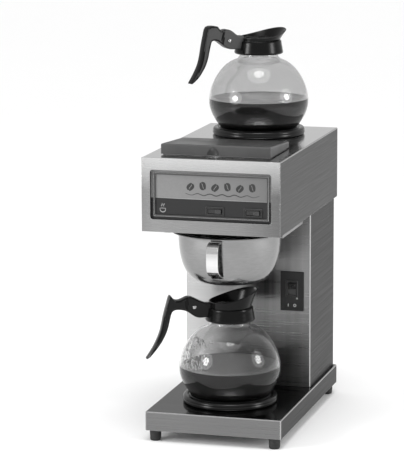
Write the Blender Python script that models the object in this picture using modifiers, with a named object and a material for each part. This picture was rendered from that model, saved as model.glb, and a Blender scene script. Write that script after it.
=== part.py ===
"""Commercial pour-over coffee brewer with two decanters, built as an assembly of separate pieces.

The cabinet is a C: a low base, a column at the rear and a deep head over the base. The front faces -Y.
Metres, +Z up. The origin is on the counter, at the middle of the box around the whole brewer.
Run it with: blender --background --python part.py
"""

import math

import bmesh
import bpy
from mathutils import Matrix, Vector

MM = 0.001
GAP = 0.3 * MM  # kept between pieces that rest on each other
SHEET = 1.2 * MM  # the cabinet's sheet steel

# The cabinet's middle, seen from the origin: the lower decanter's handle reaches past the left side.
CABINET_X = 6.7 * MM
CABINET_Y = -3.0 * MM

# Base, column and head
WIDTH = 213.0 * MM
FRONT = -190.0 * MM
REAR = 190.0 * MM
FOOT_HEIGHT = 17.0 * MM
FOOT_RADIUS = 9.0 * MM
BASE_FRONT = FRONT + 8.0 * MM
BASE_TOP = FOOT_HEIGHT + 29.5 * MM
COLUMN_HALF = 101.0 * MM
COLUMN_FRONT = 26.6 * MM
COLUMN_REAR = 187.0 * MM
HEAD_BOTTOM = 326.5 * MM
DECK = HEAD_BOTTOM + 112.0 * MM

# Front panel of the head
WINDOW_HALF = 93.2 * MM
WINDOW_LOW = HEAD_BOTTOM + 19.0 * MM
WINDOW_HIGH = HEAD_BOTTOM + 93.7 * MM
PANEL_RECESS = 5.0 * MM
WARMER_SWITCH_X = (5.8 * MM, 64.5 * MM)
WARMER_SWITCH_Z = HEAD_BOTTOM + 34.0 * MM
WARMER_SWITCH_SIZE = (28.0 * MM, 13.5 * MM)

# Switch plate on the column
BREW_SWITCH_X = 71.7 * MM
BREW_SWITCH_Z = 204.5 * MM
BREW_SWITCH_SIZE = (26.0 * MM, 19.4 * MM)
SWITCH_PLATE_LOW = (53.0 * MM, 169.0 * MM)
SWITCH_PLATE_HIGH = (90.4 * MM, 231.7 * MM)

# Pour-in lid and the basin under it
LID_HALF = 85.0 * MM
LID_FRONT = FRONT + 28.0 * MM
LID_REAR = -48.0 * MM
LID_FRONT_HEIGHT = 17.5 * MM
LID_REAR_HEIGHT = 10.5 * MM
BASIN_LOW = (-74.0 * MM, -151.0 * MM)
BASIN_HIGH = (74.0 * MM, -62.0 * MM)
BASIN_DEPTH = 52.0 * MM
HINGE_Y = -43.5 * MM
HINGE_Z = DECK + 5.5 * MM
PIN_RADIUS = 1.5 * MM
NOTCH_X = -3.3 * MM

# Warmers
LOWER_Y = FRONT + 109.2 * MM
UPPER_Y = FRONT + 282.7 * MM
RING_RADIUS = 73.0 * MM
PLATE_RADIUS = 63.6 * MM
PLATE_TOP = 12.0 * MM  # above the deck or the base

# Decanters: heights are above the face that the warmer stands on
GLASS_BOTTOM = PLATE_TOP + GAP
GLASS_WALL = 2.2 * MM
COLLAR_TOP = 148.0 * MM
HANDLE_HALF_WIDTH = 8.0 * MM
# The two heads differ a little, as hand-fitted ones do. A rim with a large rise climbs close to the spout.
HEADS = {
    "lower": {
        "turn": math.radians(26.0),
        "rim_low": 157.5 * MM,
        "rim_high": 175.5 * MM,
        "rim_rise": 1.7,
        "spout_reach": 42.5 * MM,
    },
    "upper": {
        "turn": math.radians(44.0),
        "rim_low": 153.5 * MM,
        "rim_high": 166.0 * MM,
        "rim_rise": 3.4,
        "spout_reach": 45.0 * MM,
    },
}
# Each row is a section of a handle, in mm: reach and height of its outer point, then of its inner point.
HANDLE_SECTIONS = {
    "lower": [
        (39.0, 155.5, 39.0, 134.0),
        (47.0, 158.8, 47.0, 133.4),
        (55.0, 163.0, 54.0, 134.8),
        (62.0, 166.0, 60.0, 138.4),
        (68.5, 166.0, 66.0, 142.8),
        (74.5, 163.4, 72.0, 145.6),
        (81.0, 161.2, 79.0, 147.0),
        (87.5, 162.6, 86.0, 146.8),
        (94.4, 169.0, 90.6, 144.2),
        (99.6, 153.0, 92.8, 139.0),
        (103.6, 138.0, 94.8, 130.5),
        (106.2, 125.0, 97.0, 121.0),
        (109.2, 113.0, 100.6, 110.6),
        (113.8, 101.0, 106.0, 100.0),
        (120.6, 87.4, 113.4, 89.0),
        (130.6, 72.0, 124.4, 76.0),
    ],
    "upper": [
        (39.0, 157.0, 39.0, 136.4),
        (45.0, 160.4, 47.0, 136.4),
        (51.0, 165.2, 56.0, 137.4),
        (57.5, 168.0, 63.0, 140.8),
        (63.5, 167.8, 69.0, 145.4),
        (69.0, 166.4, 74.5, 149.2),
        (73.6, 170.2, 79.4, 151.2),
        (78.0, 174.0, 84.2, 151.6),
        (92.0, 173.0, 87.6, 149.6),
        (97.0, 158.0, 89.8, 142.0),
        (100.6, 142.0, 91.8, 133.0),
        (103.4, 127.0, 94.0, 123.6),
        (106.8, 115.0, 98.2, 112.8),
        (112.2, 103.6, 104.2, 103.4),
        (117.2, 95.0, 110.0, 95.8),
        (122.6, 86.2, 116.6, 90.4),
    ],
}

# Brew basket, hung by its rim from two rails under the head
BASKET_RIM_TOP = HEAD_BOTTOM - 10.5 * MM
BASKET_RIM = 90.0 * MM
BASKET_WALL = 1.0 * MM
RAIL_FRONT = -118.0 * MM
RAIL_REAR = 8.0 * MM
RACK_SLOTS = 24

# Water tank inside the column
TANK_HALF = 80.0 * MM
TANK_FRONT = 52.0 * MM
TANK_REAR = 168.0 * MM
TANK_BOTTOM = 66.0 * MM
TANK_TOP = 296.0 * MM
FILL_X = -34.0 * MM
OUTLET_X = 34.0 * MM
TUBE_Y = 84.0 * MM

STEEL = ((0.62, 0.62, 0.63), 1.0, 0.32)
BRIGHT_STEEL = ((0.75, 0.75, 0.76), 1.0, 0.15)
DULL_STEEL = ((0.45, 0.45, 0.46), 1.0, 0.5)
BLACK_ENAMEL = ((0.012, 0.012, 0.013), 0.0, 0.18)
BLACK_PLASTIC = ((0.015, 0.015, 0.016), 0.0, 0.32)
GREY_PLASTIC = ((0.09, 0.09, 0.095), 0.0, 0.5)
LIGHT_PANEL = ((0.32, 0.32, 0.33), 0.0, 0.4)
RUBBER = ((0.01, 0.01, 0.01), 0.0, 0.75)
GLASS = ((0.9, 0.92, 0.92), 0.0, 0.03)
SILICONE = ((0.7, 0.68, 0.62), 0.0, 0.6)


# ---------------------------------------------------------------- helpers


def clear_scene():
    for obj in list(bpy.data.objects):
        bpy.data.objects.remove(obj, do_unlink=True)


def new_collection(name):
    collection = bpy.data.collections.new(name)
    bpy.context.scene.collection.children.link(collection)
    return collection


def new_empty(name, location, parent=None, turn=0.0):
    empty = bpy.data.objects.new(name, None)
    PARTS.objects.link(empty)
    empty.location = location
    empty.rotation_euler.z = turn
    empty.parent = parent
    return empty


def finish_for(name, look):
    colour, metallic, roughness = look
    material = bpy.data.materials.new(name)
    material.use_nodes = True
    shader = material.node_tree.nodes["Principled BSDF"]
    shader.inputs["Base Color"].default_value = (*colour, 1.0)
    shader.inputs["Metallic"].default_value = metallic
    shader.inputs["Roughness"].default_value = roughness
    if look is GLASS:
        shader.inputs["Transmission Weight"].default_value = 1.0
    return material


def place(name, data, look, parent, location=(0, 0, 0)):
    """A new part of the brewer, with a material of its own."""
    obj = bpy.data.objects.new(name, data)
    PARTS.objects.link(obj)
    obj.parent = parent
    obj.location = location
    data.materials.append(finish_for(name, look))
    return obj


def box_mesh(name, low, high, leave_out=()):
    """A box between two corners; leave_out names sides that stay open, such as "-z"."""
    shape = bmesh.new()
    bmesh.ops.create_cube(shape, size=1.0)
    low, high = Vector(low), Vector(high)
    for vertex in shape.verts:
        vertex.co = low + (vertex.co + Vector((0.5, 0.5, 0.5))) * (high - low)
    sides = {"x": 0, "y": 1, "z": 2}
    open_faces = [
        face
        for face in shape.faces
        for side in leave_out
        if face.normal[sides[side[1]]] * (1 if side[0] == "+" else -1) > 0.9
    ]
    bmesh.ops.delete(shape, geom=open_faces, context="FACES_ONLY")
    mesh = bpy.data.meshes.new(name)
    shape.to_mesh(mesh)
    shape.free()
    return mesh


def bevel(obj, width, segments=2):
    modifier = obj.modifiers.new("Bevel", "BEVEL")
    modifier.width = width
    modifier.segments = segments
    modifier.limit_method = "ANGLE"
    modifier.angle_limit = math.radians(40)
    return modifier


def thicken(obj, thickness):
    """Gives an open surface a wall, inwards from the surface."""
    modifier = obj.modifiers.new("Solidify", "SOLIDIFY")
    modifier.thickness = thickness
    modifier.offset = -1.0
    modifier.use_even_offset = True
    return modifier


def add_box(name, low, high, look, parent, round_by=0.0):
    obj = place(name, box_mesh(name, low, high), look, parent)
    if round_by:
        bevel(obj, round_by)
    return obj


def add_sheet_box(name, low, high, leave_out, look, parent, wall=SHEET, round_by=1.6 * MM):
    """A folded sheet housing, open on the sides in leave_out."""
    obj = place(name, box_mesh(name, low, high, leave_out), look, parent)
    bevel(obj, round_by)
    thicken(obj, wall)
    return obj


def smooth(mesh):
    mesh.shade_smooth()
    mesh.set_sharp_from_angle(angle=math.radians(35))


def add_turned(name, profile, look, parent, location=(0, 0, 0), steps=32):
    """A turned piece, from a closed outline of (radius, height) that starts down its outer side."""
    mesh = bpy.data.meshes.new(name)
    points = [(radius, 0.0, height) for radius, height in profile]
    on_axis = profile[0][0] == 0.0 and profile[-1][0] == 0.0
    edges = [(i, i + 1) for i in range(len(points) - 1)]
    if not on_axis:
        edges.append((len(points) - 1, 0))
    mesh.from_pydata(points, edges, [])
    obj = place(name, mesh, look, parent, location)
    screw = obj.modifiers.new("Screw", "SCREW")
    screw.steps = screw.render_steps = steps
    screw.use_merge_vertices = True
    screw.merge_threshold = 0.00001
    screw.use_smooth_shade = True
    return obj


def outline_curve(name, outline):
    """A flat closed outline in the curve's own XY plane."""
    curve = bpy.data.curves.new(name, "CURVE")
    curve.dimensions = "2D"
    curve.fill_mode = "BOTH"
    spline = curve.splines.new("POLY")
    spline.points.add(len(outline) - 1)
    for point, (x, y) in zip(spline.points, outline):
        point.co = (x, y, 0.0, 1.0)
    spline.use_cyclic_u = True
    return curve


def add_outline(name, outline, thickness, look, parent, location, rotation=(0, 0, 0)):
    curve = outline_curve(name, outline)
    curve.extrude = thickness / 2
    obj = place(name, curve, look, parent, location)
    obj.rotation_euler = rotation
    return obj


def add_tube(name, route, radius, look, parent, resolution=1):
    curve = bpy.data.curves.new(name, "CURVE")
    curve.dimensions = "3D"
    curve.bevel_depth = radius
    curve.bevel_resolution = resolution
    curve.use_fill_caps = True
    spline = curve.splines.new("POLY")
    spline.points.add(len(route) - 1)
    for point, place_at in zip(spline.points, route):
        point.co = (*place_at, 1.0)
    return place(name, curve, look, parent)


def rounded_route(corners, radius, steps=4):
    """A route through corners, each but the ends taken round an arc."""
    corners = [Vector(corner) for corner in corners]
    route = [corners[0]]
    for before, corner, after in zip(corners, corners[1:], corners[2:]):
        towards = (before - corner).normalized()
        onwards = (after - corner).normalized()
        start, end = corner + towards * radius, corner + onwards * radius
        for i in range(steps + 1):
            t = i / steps
            route.append(start * (1 - t) ** 2 + corner * 2 * t * (1 - t) + end * t**2)
    return route + [corners[-1]]


def loft_mesh(name, rings, capped=True):
    """Skin over rings of equally many points; with capped off it stays an open surface."""
    count = len(rings[0])
    points = [point for ring in rings for point in ring]
    faces = []
    for level in range(len(rings) - 1):
        for i in range(count):
            j = (i + 1) % count
            low, high = level * count, (level + 1) * count
            faces.append((low + i, low + j, high + j, high + i))
    if capped:
        faces.append(tuple(reversed(range(count))))
        faces.append(tuple(range(len(points) - count, len(points))))
    mesh = bpy.data.meshes.new(name)
    mesh.from_pydata(points, [], faces)
    if capped:
        face_outwards(mesh)
    smooth(mesh)
    return mesh


def face_outwards(mesh):
    shape = bmesh.new()
    shape.from_mesh(mesh)
    bmesh.ops.recalc_face_normals(shape, faces=shape.faces)
    shape.to_mesh(mesh)
    shape.free()


def new_cutter(name, mesh, parent):
    obj = bpy.data.objects.new(name, mesh)
    CUTTERS.objects.link(obj)
    obj.parent = parent
    obj.hide_render = True
    obj.display_type = "WIRE"
    return obj


def box_cutter(name, low, high, parent):
    return new_cutter(name, box_mesh(name, low, high), parent)


def rod_cutter(name, centre, radius, length, axis, parent, sides=20):
    """A round cutter whose middle is at centre, along X, Y or Z."""
    shape = bmesh.new()
    bmesh.ops.create_cone(
        shape, cap_ends=True, segments=sides, radius1=radius, radius2=radius, depth=length
    )
    turns = {
        "X": Matrix.Rotation(math.pi / 2, 4, "Y"),
        "Y": Matrix.Rotation(math.pi / 2, 4, "X"),
        "Z": Matrix.Identity(4),
    }
    shape.transform(Matrix.Translation(centre) @ turns[axis])
    mesh = bpy.data.meshes.new(name)
    shape.to_mesh(mesh)
    shape.free()
    return new_cutter(name, mesh, parent)


def combine(obj, other, operation="DIFFERENCE"):
    modifier = obj.modifiers.new("Boolean", "BOOLEAN")
    modifier.operation = operation
    modifier.solver = "EXACT"
    modifier.object = other


def drill(obj, centre, radius, length, axis):
    combine(obj, rod_cutter(f"{obj.name}_hole", centre, radius, length, axis, obj.parent))


def cut_box(obj, low, high):
    combine(obj, box_cutter(f"{obj.name}_cut", low, high, obj.parent))


# ---------------------------------------------------------------- cabinet


def build_base(cabinet):
    half = WIDTH / 2
    shell = add_sheet_box(
        "base_shell", (-half, BASE_FRONT, FOOT_HEIGHT), (half, REAR, BASE_TOP), ["-z"], STEEL, cabinet
    )
    # The wires of the lower warmer pass up into the column here.
    cut_box(shell, (-40 * MM, 60 * MM, BASE_TOP - 4 * MM), (40 * MM, 120 * MM, BASE_TOP + 4 * MM))
    inset = SHEET + GAP
    add_box(
        "base_bottom_plate",
        (-half + inset, BASE_FRONT + inset, FOOT_HEIGHT + GAP),
        (half - inset, REAR - inset, FOOT_HEIGHT + GAP + SHEET),
        DULL_STEEL,
        cabinet,
    )
    sole = FOOT_RADIUS - 2.2 * MM
    profile = [
        (0.0, FOOT_HEIGHT),
        (FOOT_RADIUS, FOOT_HEIGHT),
        (FOOT_RADIUS - 0.6 * MM, 2.4 * MM),
        (FOOT_RADIUS - 1.3 * MM, 0.7 * MM),
        (sole, 0.0),
        (0.0, 0.0),
    ]
    for end, y in (("front", -170 * MM), ("rear", 177 * MM)):
        for side, x in (("left", -93.5 * MM), ("right", 93.5 * MM)):
            add_turned(f"foot_{end}_{side}", profile, RUBBER, cabinet, (x, y, 0), steps=24)


def build_column(cabinet):
    low = BASE_TOP + GAP
    high = HEAD_BOTTOM - GAP
    front = add_sheet_box(
        "column_front",
        (-COLUMN_HALF, COLUMN_FRONT, low),
        (COLUMN_HALF, COLUMN_REAR, high),
        ["-z", "+z", "+y"],
        STEEL,
        cabinet,
    )
    long_side, short_side = BREW_SWITCH_SIZE
    reach = 3.4 * MM
    across, up = short_side / 2 + reach, long_side / 2 + reach
    cut_box(
        front,
        (BREW_SWITCH_X - across, COLUMN_FRONT - 5 * MM, BREW_SWITCH_Z - up),
        (BREW_SWITCH_X + across, COLUMN_FRONT + 5 * MM, BREW_SWITCH_Z + up),
    )
    side = COLUMN_HALF - SHEET - GAP
    back = add_box(
        "rear_panel",
        (-side, COLUMN_REAR - SHEET, low),
        (side, COLUMN_REAR, high),
        STEEL,
        cabinet,
    )
    gland = (60 * MM, COLUMN_REAR, 78 * MM)
    drill(back, gland, 8.3 * MM, 10 * MM, "Y")
    slot_count = 5
    for i in range(slot_count):
        z = 250 * MM + i * 12 * MM
        cut_box(back, (-35 * MM, COLUMN_REAR - 5 * MM, z), (35 * MM, COLUMN_REAR + 5 * MM, z + 4 * MM))
    build_cord_gland(cabinet, gland)
    build_rear_screws(cabinet, side, low, high)


def build_cord_gland(cabinet, centre):
    """The strain-relief bush of the power lead, with its bore left open."""
    outside, inside = 9 * MM, -8 * MM
    profile = [
        (5.2 * MM, outside),
        (7.4 * MM, outside - 0.8 * MM),
        (8.2 * MM, 3.2 * MM),
        (11.5 * MM, 2.6 * MM),
        (11.5 * MM, GAP),
        (8.0 * MM, GAP),
        (8.0 * MM, inside),
        (4.2 * MM, inside),
        (4.2 * MM, outside - 0.6 * MM),
    ]
    bush = add_turned("cord_gland", profile, BLACK_PLASTIC, cabinet, centre, steps=20)
    bush.rotation_euler = (-math.pi / 2, 0, 0)


def build_rear_screws(cabinet, side, low, high):
    head = [(0.0, 2.2 * MM), (2.2 * MM, 1.9 * MM), (3.6 * MM, 0.9 * MM), (3.6 * MM, GAP), (0.0, GAP)]
    for row, z in (("lower", low + 14 * MM), ("upper", high - 14 * MM)):
        for hand, x in (("left", -side + 12 * MM), ("right", side - 12 * MM)):
            screw = add_turned(
                f"rear_screw_{row}_{hand}", head, DULL_STEEL, cabinet, (x, COLUMN_REAR, z), steps=12
            )
            screw.rotation_euler = (-math.pi / 2, 0, 0)


def build_head(cabinet):
    half = WIDTH / 2
    face = 1.5 * MM
    shell = add_sheet_box(
        "head_shell",
        (-half, FRONT + face + GAP, HEAD_BOTTOM),
        (half, COLUMN_REAR, DECK),
        ["-z", "-y"],
        STEEL,
        cabinet,
    )
    cut_box(
        shell,
        (BASIN_LOW[0] - 2 * MM, BASIN_LOW[1] - 2 * MM, DECK - 6 * MM),
        (BASIN_HIGH[0] + 2 * MM, BASIN_HIGH[1] + 2 * MM, DECK + 6 * MM),
    )
    inset = SHEET + GAP
    floor = add_box(
        "head_floor",
        (-half + inset, FRONT + face + 2 * GAP, HEAD_BOTTOM),
        (half - inset, COLUMN_REAR - inset, HEAD_BOTTOM + SHEET),
        STEEL,
        cabinet,
    )
    cut_box(floor, (-94 * MM, 34 * MM, HEAD_BOTTOM - 5 * MM), (94 * MM, 180 * MM, HEAD_BOTTOM + 5 * MM))
    drill(floor, (0, LOWER_Y, HEAD_BOTTOM), 5.5 * MM, 10 * MM, "Z")
    build_front_frame(cabinet, face)
    build_graphics_panel(cabinet)


def rounded_box_cutter(name, low, high, radius, parent):
    """A cutter along Y with rounded corners in the XZ plane."""
    left, right = low[0] + radius, high[0] - radius
    bottom, top = low[2] + radius, high[2] - radius
    outline = []
    for x, z, start in ((right, top, 0), (left, top, 90), (left, bottom, 180), (right, bottom, 270)):
        for step in range(4):
            angle = math.radians(start + 30 * step)
            outline.append((x + radius * math.cos(angle), z + radius * math.sin(angle)))
    rings = [[(x, y, z) for x, z in outline] for y in (low[1], high[1])]
    return new_cutter(name, loft_mesh(name, rings), parent)


def build_front_frame(cabinet, face):
    """The head's front: a face with a window, and a lip turned inwards around it."""
    half = WIDTH / 2
    low, high = (-half, FRONT, HEAD_BOTTOM), (half, FRONT + face, DECK)
    frame = add_box("head_front_frame", low, high, STEEL, cabinet)
    lip = 1.2 * MM
    block = box_cutter(
        "front_frame_lip",
        (-WINDOW_HALF - lip, FRONT + 0.5 * MM, WINDOW_LOW - lip),
        (WINDOW_HALF + lip, FRONT + PANEL_RECESS, WINDOW_HIGH + lip),
        cabinet,
    )
    combine(frame, block, "UNION")
    window = rounded_box_cutter(
        "front_frame_window",
        (-WINDOW_HALF, FRONT - 5 * MM, WINDOW_LOW),
        (WINDOW_HALF, FRONT + 15 * MM, WINDOW_HIGH),
        4 * MM,
        cabinet,
    )
    combine(frame, window)


def build_graphics_panel(cabinet):
    """The panel behind the window, with a bright trim on it and its two warmer switches."""
    front = FRONT + PANEL_RECESS + GAP
    thickness = 1.6 * MM
    reach = 4 * MM
    panel = add_box(
        "graphics_panel",
        (-WINDOW_HALF - reach, front, WINDOW_LOW - reach),
        (WINDOW_HALF + reach, front + thickness, WINDOW_HIGH + reach),
        LIGHT_PANEL,
        cabinet,
    )
    long_side, short_side = WARMER_SWITCH_SIZE
    for x in WARMER_SWITCH_X:
        cut_box(
            panel,
            (x - long_side / 2 + 1.2 * MM, front - 5 * MM, WARMER_SWITCH_Z - short_side / 2 + 1.2 * MM),
            (x + long_side / 2 - 1.2 * MM, front + 8 * MM, WARMER_SWITCH_Z + short_side / 2 - 1.2 * MM),
        )
    trim_out, trim_in = 4.2 * MM, 7.0 * MM
    trim = add_box(
        "panel_trim",
        (-WINDOW_HALF + trim_out, front - 2.2 * MM, WINDOW_LOW + trim_out),
        (WINDOW_HALF - trim_out, front - GAP, WINDOW_HIGH - trim_out),
        BRIGHT_STEEL,
        cabinet,
        round_by=0.6 * MM,
    )
    opening = rounded_box_cutter(
        "panel_trim_opening",
        (-WINDOW_HALF + trim_in, front - 10 * MM, WINDOW_LOW + trim_in),
        (WINDOW_HALF - trim_in, front + 10 * MM, WINDOW_HIGH - trim_in),
        2 * MM,
        cabinet,
    )
    combine(trim, opening)
    for name, x in zip(("lower_warmer", "upper_warmer"), WARMER_SWITCH_X):
        build_switch(name, cabinet, (x, front - GAP, WARMER_SWITCH_Z), WARMER_SWITCH_SIZE, upright=False)


def build_switch(name, cabinet, centre, size, upright):
    """A rocker switch, its flange on a panel at centre. It rocks about X if upright, else about Z."""
    long_side, short_side = size
    spot = new_empty(f"{name}_switch_place", centre, cabinet)
    if not upright:
        spot.rotation_euler.y = math.pi / 2
    flange, depth, rim = 1.6 * MM, 14 * MM, 1.7 * MM
    wide, tall = short_side / 2, long_side / 2
    housing = add_box(
        f"{name}_switch_housing",
        (-wide, -flange, -tall),
        (wide, 0, tall),
        BLACK_PLASTIC,
        spot,
    )
    body = box_cutter(
        f"{name}_switch_body",
        (-wide + 1.6 * MM, -0.5 * flange, -tall + 1.6 * MM),
        (wide - 1.6 * MM, depth, tall - 1.6 * MM),
        spot,
    )
    combine(housing, body, "UNION")
    across, up = wide - rim - MM, tall - rim - MM
    cut_box(housing, (-across, -5 * MM, -up), (across, depth - 3 * MM, up))
    build_rocker(name, spot, wide - rim - 1.5 * MM, tall - rim - 1.6 * MM)


def build_rocker(name, spot, half_width, half_length):
    """A shallow V seen from the side, resting with one half pressed in."""
    rest_tilt = math.radians(8)
    pivot = (0.0, 2.2 * MM, 0.0)
    side_view = [
        (-half_length, 3.6 * MM),
        (0.0, 2.3 * MM),
        (half_length, 3.6 * MM),
        (half_length - 1.6 * MM, -3.4 * MM),
        (-half_length + 1.6 * MM, -3.4 * MM),
    ]
    rings = [[(x, -out, z) for z, out in side_view] for x in (half_width, -half_width)]
    mesh = loft_mesh(f"{name}_rocker", rings)
    rocker = place(f"{name}_rocker", mesh, GREY_PLASTIC, spot, pivot)
    rocker.rotation_euler.x = rest_tilt


def build_switch_plate(cabinet):
    front = COLUMN_FRONT - GAP
    plate = add_box(
        "switch_plate",
        (SWITCH_PLATE_LOW[0], front - 1.5 * MM, SWITCH_PLATE_LOW[1]),
        (SWITCH_PLATE_HIGH[0], front, SWITCH_PLATE_HIGH[1]),
        BLACK_PLASTIC,
        cabinet,
        round_by=0.5 * MM,
    )
    long_side, short_side = BREW_SWITCH_SIZE
    across, up = short_side / 2 - 1.2 * MM, long_side / 2 - 1.2 * MM
    cut_box(
        plate,
        (BREW_SWITCH_X - across, front - 8 * MM, BREW_SWITCH_Z - up),
        (BREW_SWITCH_X + across, front + 8 * MM, BREW_SWITCH_Z + up),
    )
    spot = (BREW_SWITCH_X, front - 1.5 * MM - GAP, BREW_SWITCH_Z)
    build_switch("brew", cabinet, spot, BREW_SWITCH_SIZE, upright=True)


# ---------------------------------------------------------------- warmers


def build_warmer(name, cabinet, y, surface):
    """Ring, plate and heater of one warmer, standing on a flat steel face."""
    at = (0, y, surface)
    ring = [
        (66.2 * MM, 11.6 * MM),
        (69.4 * MM, 11.4 * MM),
        (71.6 * MM, 10.2 * MM),
        (72.8 * MM, 8.0 * MM),
        (72.4 * MM, 6.2 * MM),
        (RING_RADIUS, 4.4 * MM),
        (72.2 * MM, 1.8 * MM),
        (70.8 * MM, GAP),
        (PLATE_RADIUS + GAP, GAP),
        (PLATE_RADIUS + GAP, 10.6 * MM),
    ]
    add_turned(f"{name}_warmer_ring", ring, BLACK_ENAMEL, cabinet, at, steps=32)
    plate = [
        (0.0, PLATE_TOP),
        (PLATE_RADIUS - 1.2 * MM, PLATE_TOP),
        (PLATE_RADIUS, PLATE_TOP - 0.9 * MM),
        (PLATE_RADIUS, PLATE_TOP - 2.2 * MM),
        (0.0, PLATE_TOP - 2.2 * MM),
    ]
    add_turned(f"{name}_warmer_plate", plate, BLACK_ENAMEL, cabinet, at, steps=28)
    heater_top = PLATE_TOP - 2.2 * MM - GAP
    heater = [(20 * MM, heater_top), (50 * MM, heater_top), (50 * MM, GAP), (20 * MM, GAP)]
    add_turned(f"{name}_warmer_heater", heater, DULL_STEEL, cabinet, at, steps=24)


# ---------------------------------------------------------------- water way


def build_lid(cabinet):
    """The hinged cover of the pour-in basin: a wedge, open below, with a finger notch in front."""
    hinge = new_empty("lid_hinge_axis", (0, HINGE_Y, HINGE_Z), cabinet)
    bottom = DECK + 1.9 * MM - HINGE_Z
    front, rear = LID_FRONT - HINGE_Y, LID_REAR - HINGE_Y
    front_top = DECK + LID_FRONT_HEIGHT - HINGE_Z
    rear_top = DECK + LID_REAR_HEIGHT - HINGE_Z
    mesh = box_mesh("pour_lid", (-LID_HALF, front, bottom), (LID_HALF, rear, rear_top), ["-z"])
    for vertex in mesh.vertices:
        if vertex.co.y < (front + rear) / 2 and vertex.co.z > bottom + MM:
            vertex.co.z = front_top
    lid = place("pour_lid", mesh, GREY_PLASTIC, hinge)
    bevel(lid, 2.4 * MM)
    thicken(lid, 2.0 * MM)
    boss = box_cutter(
        "pour_lid_boss",
        (NOTCH_X - 13 * MM, front + MM, bottom),
        (NOTCH_X + 13 * MM, front + 8 * MM, front_top - 1.6 * MM),
        hinge,
    )
    combine(lid, boss, "UNION")
    combine(lid, new_cutter("pour_lid_notch", notch_mesh(front, bottom), hinge))
    for side in (-1, 1):
        ear = box_cutter(
            f"pour_lid_ear_{side}",
            (side * 52 * MM - 7 * MM, rear - 1.2 * MM, -3.2 * MM),
            (side * 52 * MM + 7 * MM, 3.4 * MM, 3.2 * MM),
            hinge,
        )
        combine(lid, ear, "UNION")
    drill(lid, (0, 0, 0), PIN_RADIUS + 0.4 * MM, 150 * MM, "X")
    build_hinge_bracket(cabinet)
    ends = [(-68 * MM, HINGE_Y, HINGE_Z), (68 * MM, HINGE_Y, HINGE_Z)]
    add_tube("lid_hinge_pin", ends, PIN_RADIUS, BRIGHT_STEEL, cabinet, resolution=2)


def notch_mesh(front, bottom):
    """A half dome let into the lower edge of the lid's front, for a finger."""
    shape = bmesh.new()
    bmesh.ops.create_uvsphere(shape, u_segments=16, v_segments=8, radius=1.0)
    size = Matrix.Diagonal((10.5 * MM, 9 * MM, 14.0 * MM, 1.0))
    shape.transform(Matrix.Translation((NOTCH_X, front - 3.0 * MM, bottom - 0.5 * MM)) @ size)
    mesh = bpy.data.meshes.new("pour_lid_notch")
    shape.to_mesh(mesh)
    shape.free()
    return mesh


def build_hinge_bracket(cabinet):
    """The hinge bracket on the deck: a foot plate with four lugs that hold the pin."""
    base_low = DECK + GAP
    bracket = add_box(
        "lid_hinge_bracket",
        (-68 * MM, HINGE_Y + 4.2 * MM, base_low),
        (68 * MM, HINGE_Y + 12 * MM, base_low + 1.5 * MM),
        DULL_STEEL,
        cabinet,
    )
    for x in (-63, -41, 41, 63):
        lug = box_cutter(
            f"bracket_lug_{x}",
            (x * MM - 1.5 * MM, HINGE_Y - 2.8 * MM, base_low),
            (x * MM + 1.5 * MM, HINGE_Y + 8 * MM, HINGE_Z + 3.0 * MM),
            cabinet,
        )
        combine(bracket, lug, "UNION")
    drill(bracket, (0, HINGE_Y, HINGE_Z), PIN_RADIUS + 0.2 * MM, 150 * MM, "X")


def build_basin(cabinet):
    """The tray under the lid that takes the poured water: a flange on the deck, a drain at the rear."""
    flange = 1.2 * MM
    reach = 8 * MM
    basin = add_box(
        "pour_basin",
        (BASIN_LOW[0] - reach, BASIN_LOW[1] - reach, DECK + GAP),
        (BASIN_HIGH[0] + reach, BASIN_HIGH[1] + reach, DECK + GAP + flange),
        DULL_STEEL,
        cabinet,
    )
    wall = 1.5 * MM
    bottom = DECK - BASIN_DEPTH
    tray_top = DECK + GAP + 0.5 * flange
    tray = box_cutter("basin_tray", (*BASIN_LOW, bottom), (*BASIN_HIGH, tray_top), cabinet)
    combine(basin, tray, "UNION")
    cut_box(
        basin,
        (BASIN_LOW[0] + wall, BASIN_LOW[1] + wall, bottom + wall),
        (BASIN_HIGH[0] - wall, BASIN_HIGH[1] - wall, DECK + 10 * MM),
    )
    drill(basin, (FILL_X, BASIN_HIGH[1] - 16 * MM, bottom), 5.6 * MM, 10 * MM, "Z")


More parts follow.
